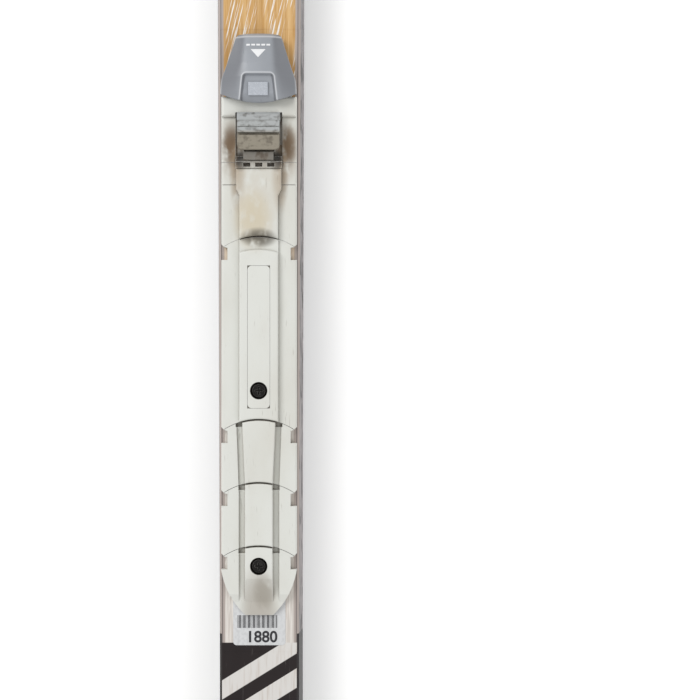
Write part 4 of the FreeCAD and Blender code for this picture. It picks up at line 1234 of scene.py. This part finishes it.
        # The lid's plastic carries painted highlights from the mesh's bright share, painted shade on its
        # sloping sides and painted shade in its crevices.
        skin = MouldedPlastic(
            "lid_plastic", "94989e", "9ea2a8", "5d6067", roughness=0.34, crevice_shade_strength=0.45,
            edge_colour="d9dbde", edge_strength=0.75, edge_from="bright", flank_shade="74767b",
        )
        finish = skin.material()
        dress(finish, "release_lid")
        dress(DottedPlastic().material(), "pole_pad")
        shell = self.shell()
        shell.data.materials.append(finish)
        mark = self.marks(shell)
        mark.data.materials.append(Ink("mark_ink", "e8e9ea", "bfc2c6").material())
        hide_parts("release_lid")
        for piece in (shell, mark):
            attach(piece, Body.LID.value)
            LOG.info("%s rides on the lid", piece.name)


@dataclass
class BindingPlates:
    """The cream housing and plates, and the metal and rubber that they hold."""

    well_stain_out: float = 4.0 * MM
    well_stain_reach: Pair = (7.5 * MM, 15 * MM)
    well_halo_reach: Pair = (9 * MM, 24 * MM)
    cover_side_reach: Pair = (6 * MM, 26 * MM)
    well_corner_shade_reach: Pair = (5.2 * MM, 8 * MM)
    heel_reach: Pair = (14 * MM, 44 * MM)
    rubber_turn: float = 0.62

    def beside_well(self, hand: int) -> list[StainAndShade]:
        """The brown mud, and the painted shade in the well's corner, on one side of the well.

        Args:
            hand: -1 for the left side and 1 for the right.

        Returns:
            The patches.
        """
        low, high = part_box("bumper")
        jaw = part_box("fixed_jaw")
        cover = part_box("ridge_cover")
        side = hand * (high.x + self.well_stain_out)
        corner = (hand * (high.x - 2 * MM), jaw[0].y + 5 * MM)
        return [
            StainAndShade((side, low.y + 3 * MM), self.well_stain_reach, "54412d", 1.0),
            StainAndShade((side, low.y + 2 * MM), self.well_halo_reach, "8a7256", 0.5),
            StainAndShade((hand * high.x, cover[1].y - 4 * MM), self.cover_side_reach, "a08b6f", 0.7),
            # Painted shade: an even near-black patch in the well's corner beside the jaw.
            StainAndShade(corner, self.well_corner_shade_reach, "0f0c0a", 1.0, even=True),
        ]

    def stains_and_shade(self) -> tuple[StainAndShade, ...]:
        """The patches beside the well, on the ridges and under the heel: mostly mud and rubbing, with
        painted shade in the well's corners, under the jaw and where the ridge cover ends.

        Returns:
            The patches, from the lowest coat to the uppermost.
        """
        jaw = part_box("fixed_jaw")
        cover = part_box("ridge_cover")
        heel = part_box("heel_plate_rear")
        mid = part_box("mid_plate")
        # Painted shade and grime: a dark brown patch, broken into clouds, at the jaw's rear end.
        shade_and_dirt_under_jaw = StainAndShade((0, jaw[0].y + 3 * MM), (17 * MM, 5.5 * MM), "3a2f25", 0.8)
        cover_front = StainAndShade((0, cover[1].y - 18 * MM), (17 * MM, 40 * MM), "cbc6ba", 0.7)
        cover_rear = StainAndShade((-4 * MM, cover[0].y + 12 * MM), (14 * MM, 22 * MM), "c9bb9c", 0.6)
        # Painted shadow and wear: a dark grey clouded patch where the ridge cover's rear edge lies on the
        # mid plate.
        cover_end_shadow_and_wear = StainAndShade((0, mid[1].y - 1 * MM), (13 * MM, 7 * MM), "5f5a50", 0.9)
        heel_end = StainAndShade((0, heel[0].y - 4 * MM), self.heel_reach, "b1aba1", 0.85, even=True)
        heel_cloud = StainAndShade((3 * MM, heel[0].y + 14 * MM), (8 * MM, 14 * MM), "948d81", 0.55)
        return (*self.beside_well(-1), *self.beside_well(1), shade_and_dirt_under_jaw, cover_front, cover_rear,
                cover_end_shadow_and_wear, heel_end, heel_cloud)

    def dress(self) -> None:
        """Dresses the plastic, metal and rubber."""
        cream = MouldedPlastic("cream_plastic", "dadbd5", "d2d1c9", "6a5c4b", stains_and_shade=self.stains_and_shade())
        dress(cream.material(), "toe_housing", "fixed_jaw", "front_plate", "ridge_cover",
              "mid_plate", "ridge_insert", "heel_plate_front", "heel_plate_middle", "heel_plate_rear")
        low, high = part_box("bumper")
        turn = low.y + self.rubber_turn * (high.y - low.y)
        dress(WornRubber(turn).material(), "bumper", "bumper_clip")
        steel = WornMetal("worn_steel", "8b8780", "5a4a3b", "cfcbc2")
        dress(steel.material(), "jaw_slider", "slide_cover", "lid_pin", "jaw_springs", "spring_guides")
        plate = WornMetal("plate_metal", "b4b6b8", "8f9193", "d9dadb")
        dress(plate.material(), "mounting_plate")
        black = WornMetal("black_screws", "2b2a29", "4a4846", "8e8c88", roughness=0.42, patch_strength=0.4)
        dress(black.material(), "mounting_screws")


@dataclass
class Studio:
    """The pale floor, the soft lights and the camera straight above the binding."""

    floor_size: float = 40.0
    height: float = 1.2
    view_width: float = 0.428
    side_shift: float = 0.0554
    sensor: float = 36.0
    behind_toe: float = 116.3 * MM
    bumper_ahead: float = 4.7 * MM
    lamps_aim: Triple = (0, -0.13, 0)
    glow: float = 0.22
    daylight: float = 0.62

    def floor(self) -> None:
        """Lays the floor."""
        half = self.floor_size / 2
        mesh = bpy.data.meshes.new("floor")
        corners = [(-half, -half, 0), (half, -half, 0), (half, half, 0), (-half, half, 0)]
        mesh.from_pydata(corners, [], [(0, 1, 2, 3)])
        piece = bpy.data.objects.new("floor", mesh)
        bpy.context.scene.collection.objects.link(piece)
        graph = Graph("studio_floor")
        tone = graph.blend(graph.noise((300, 300, 300), 2), paint("f6f6f5"), paint("f9f9f9"))
        mesh.materials.append(graph.done(tone, 0.7, Specular_IOR_Level=0.1,
                                         Emission_Color=paint("ffffff"), Emission_Strength=self.glow))

    def lamp(self, name: str, place: Triple, size: float, power: float) -> None:
        """Hangs one soft lamp that faces the binding.

        Args:
            name: the lamp's name.
            place: where it hangs, in metres.
            size: the length of its square face.
            power: its power in watts.
        """
        light = bpy.data.lights.new(name, "AREA")
        light.shape = "SQUARE"
        light.size = size
        light.energy = power
        lamp = bpy.data.objects.new(name, light)
        lamp.location = place
        aim = Vector(self.lamps_aim) - Vector(place)
        lamp.rotation_euler = aim.to_track_quat("-Z", "Y").to_euler()
        lamp.visible_camera = False
        bpy.context.scene.collection.objects.link(lamp)

    def sky(self) -> None:
        """Fills the room with even pale light."""
        world = bpy.data.worlds.new("room")
        world.use_nodes = True
        back = world.node_tree.nodes["Background"]
        back.inputs["Color"].default_value = paint("ffffff")
        back.inputs["Strength"].default_value = self.daylight
        bpy.context.scene.world = world
        bpy.context.scene.view_settings.view_transform = "Standard"

    def camera(self) -> None:
        """Hangs the camera."""
        lens = bpy.data.cameras.new("camera")
        lens.sensor_width = self.sensor
        lens.lens = self.sensor * self.height / self.view_width
        lens.clip_end = 100.0
        camera = bpy.data.objects.new("camera", lens)
        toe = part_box("bumper")[0].y - self.bumper_ahead
        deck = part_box("mid_plate")[0].z
        camera.location = (self.side_shift, toe - self.behind_toe, deck + self.height)
        bpy.context.scene.collection.objects.link(camera)
        bpy.context.scene.camera = camera

    def build(self) -> None:
        """Sets up the studio."""
        self.floor()
        self.lamp("key_lamp", (-1.6, 1.4, 2.6), 1.8, 52)
        self.lamp("fill_lamp", (1.9, -1.2, 2.4), 2.2, 20)
        self.sky()
        self.camera()


def main() -> None:
    """Builds and dresses the ski, its binding and the studio, in that order."""
    logging.basicConfig(level=logging.INFO, format="%(name)s: %(message)s")
    SkiBlade().dress()
    SizeLabel().build()
    PressLid().build()
    BindingPlates().dress()
    Studio().build()


if __name__ == "__main__":
    main()
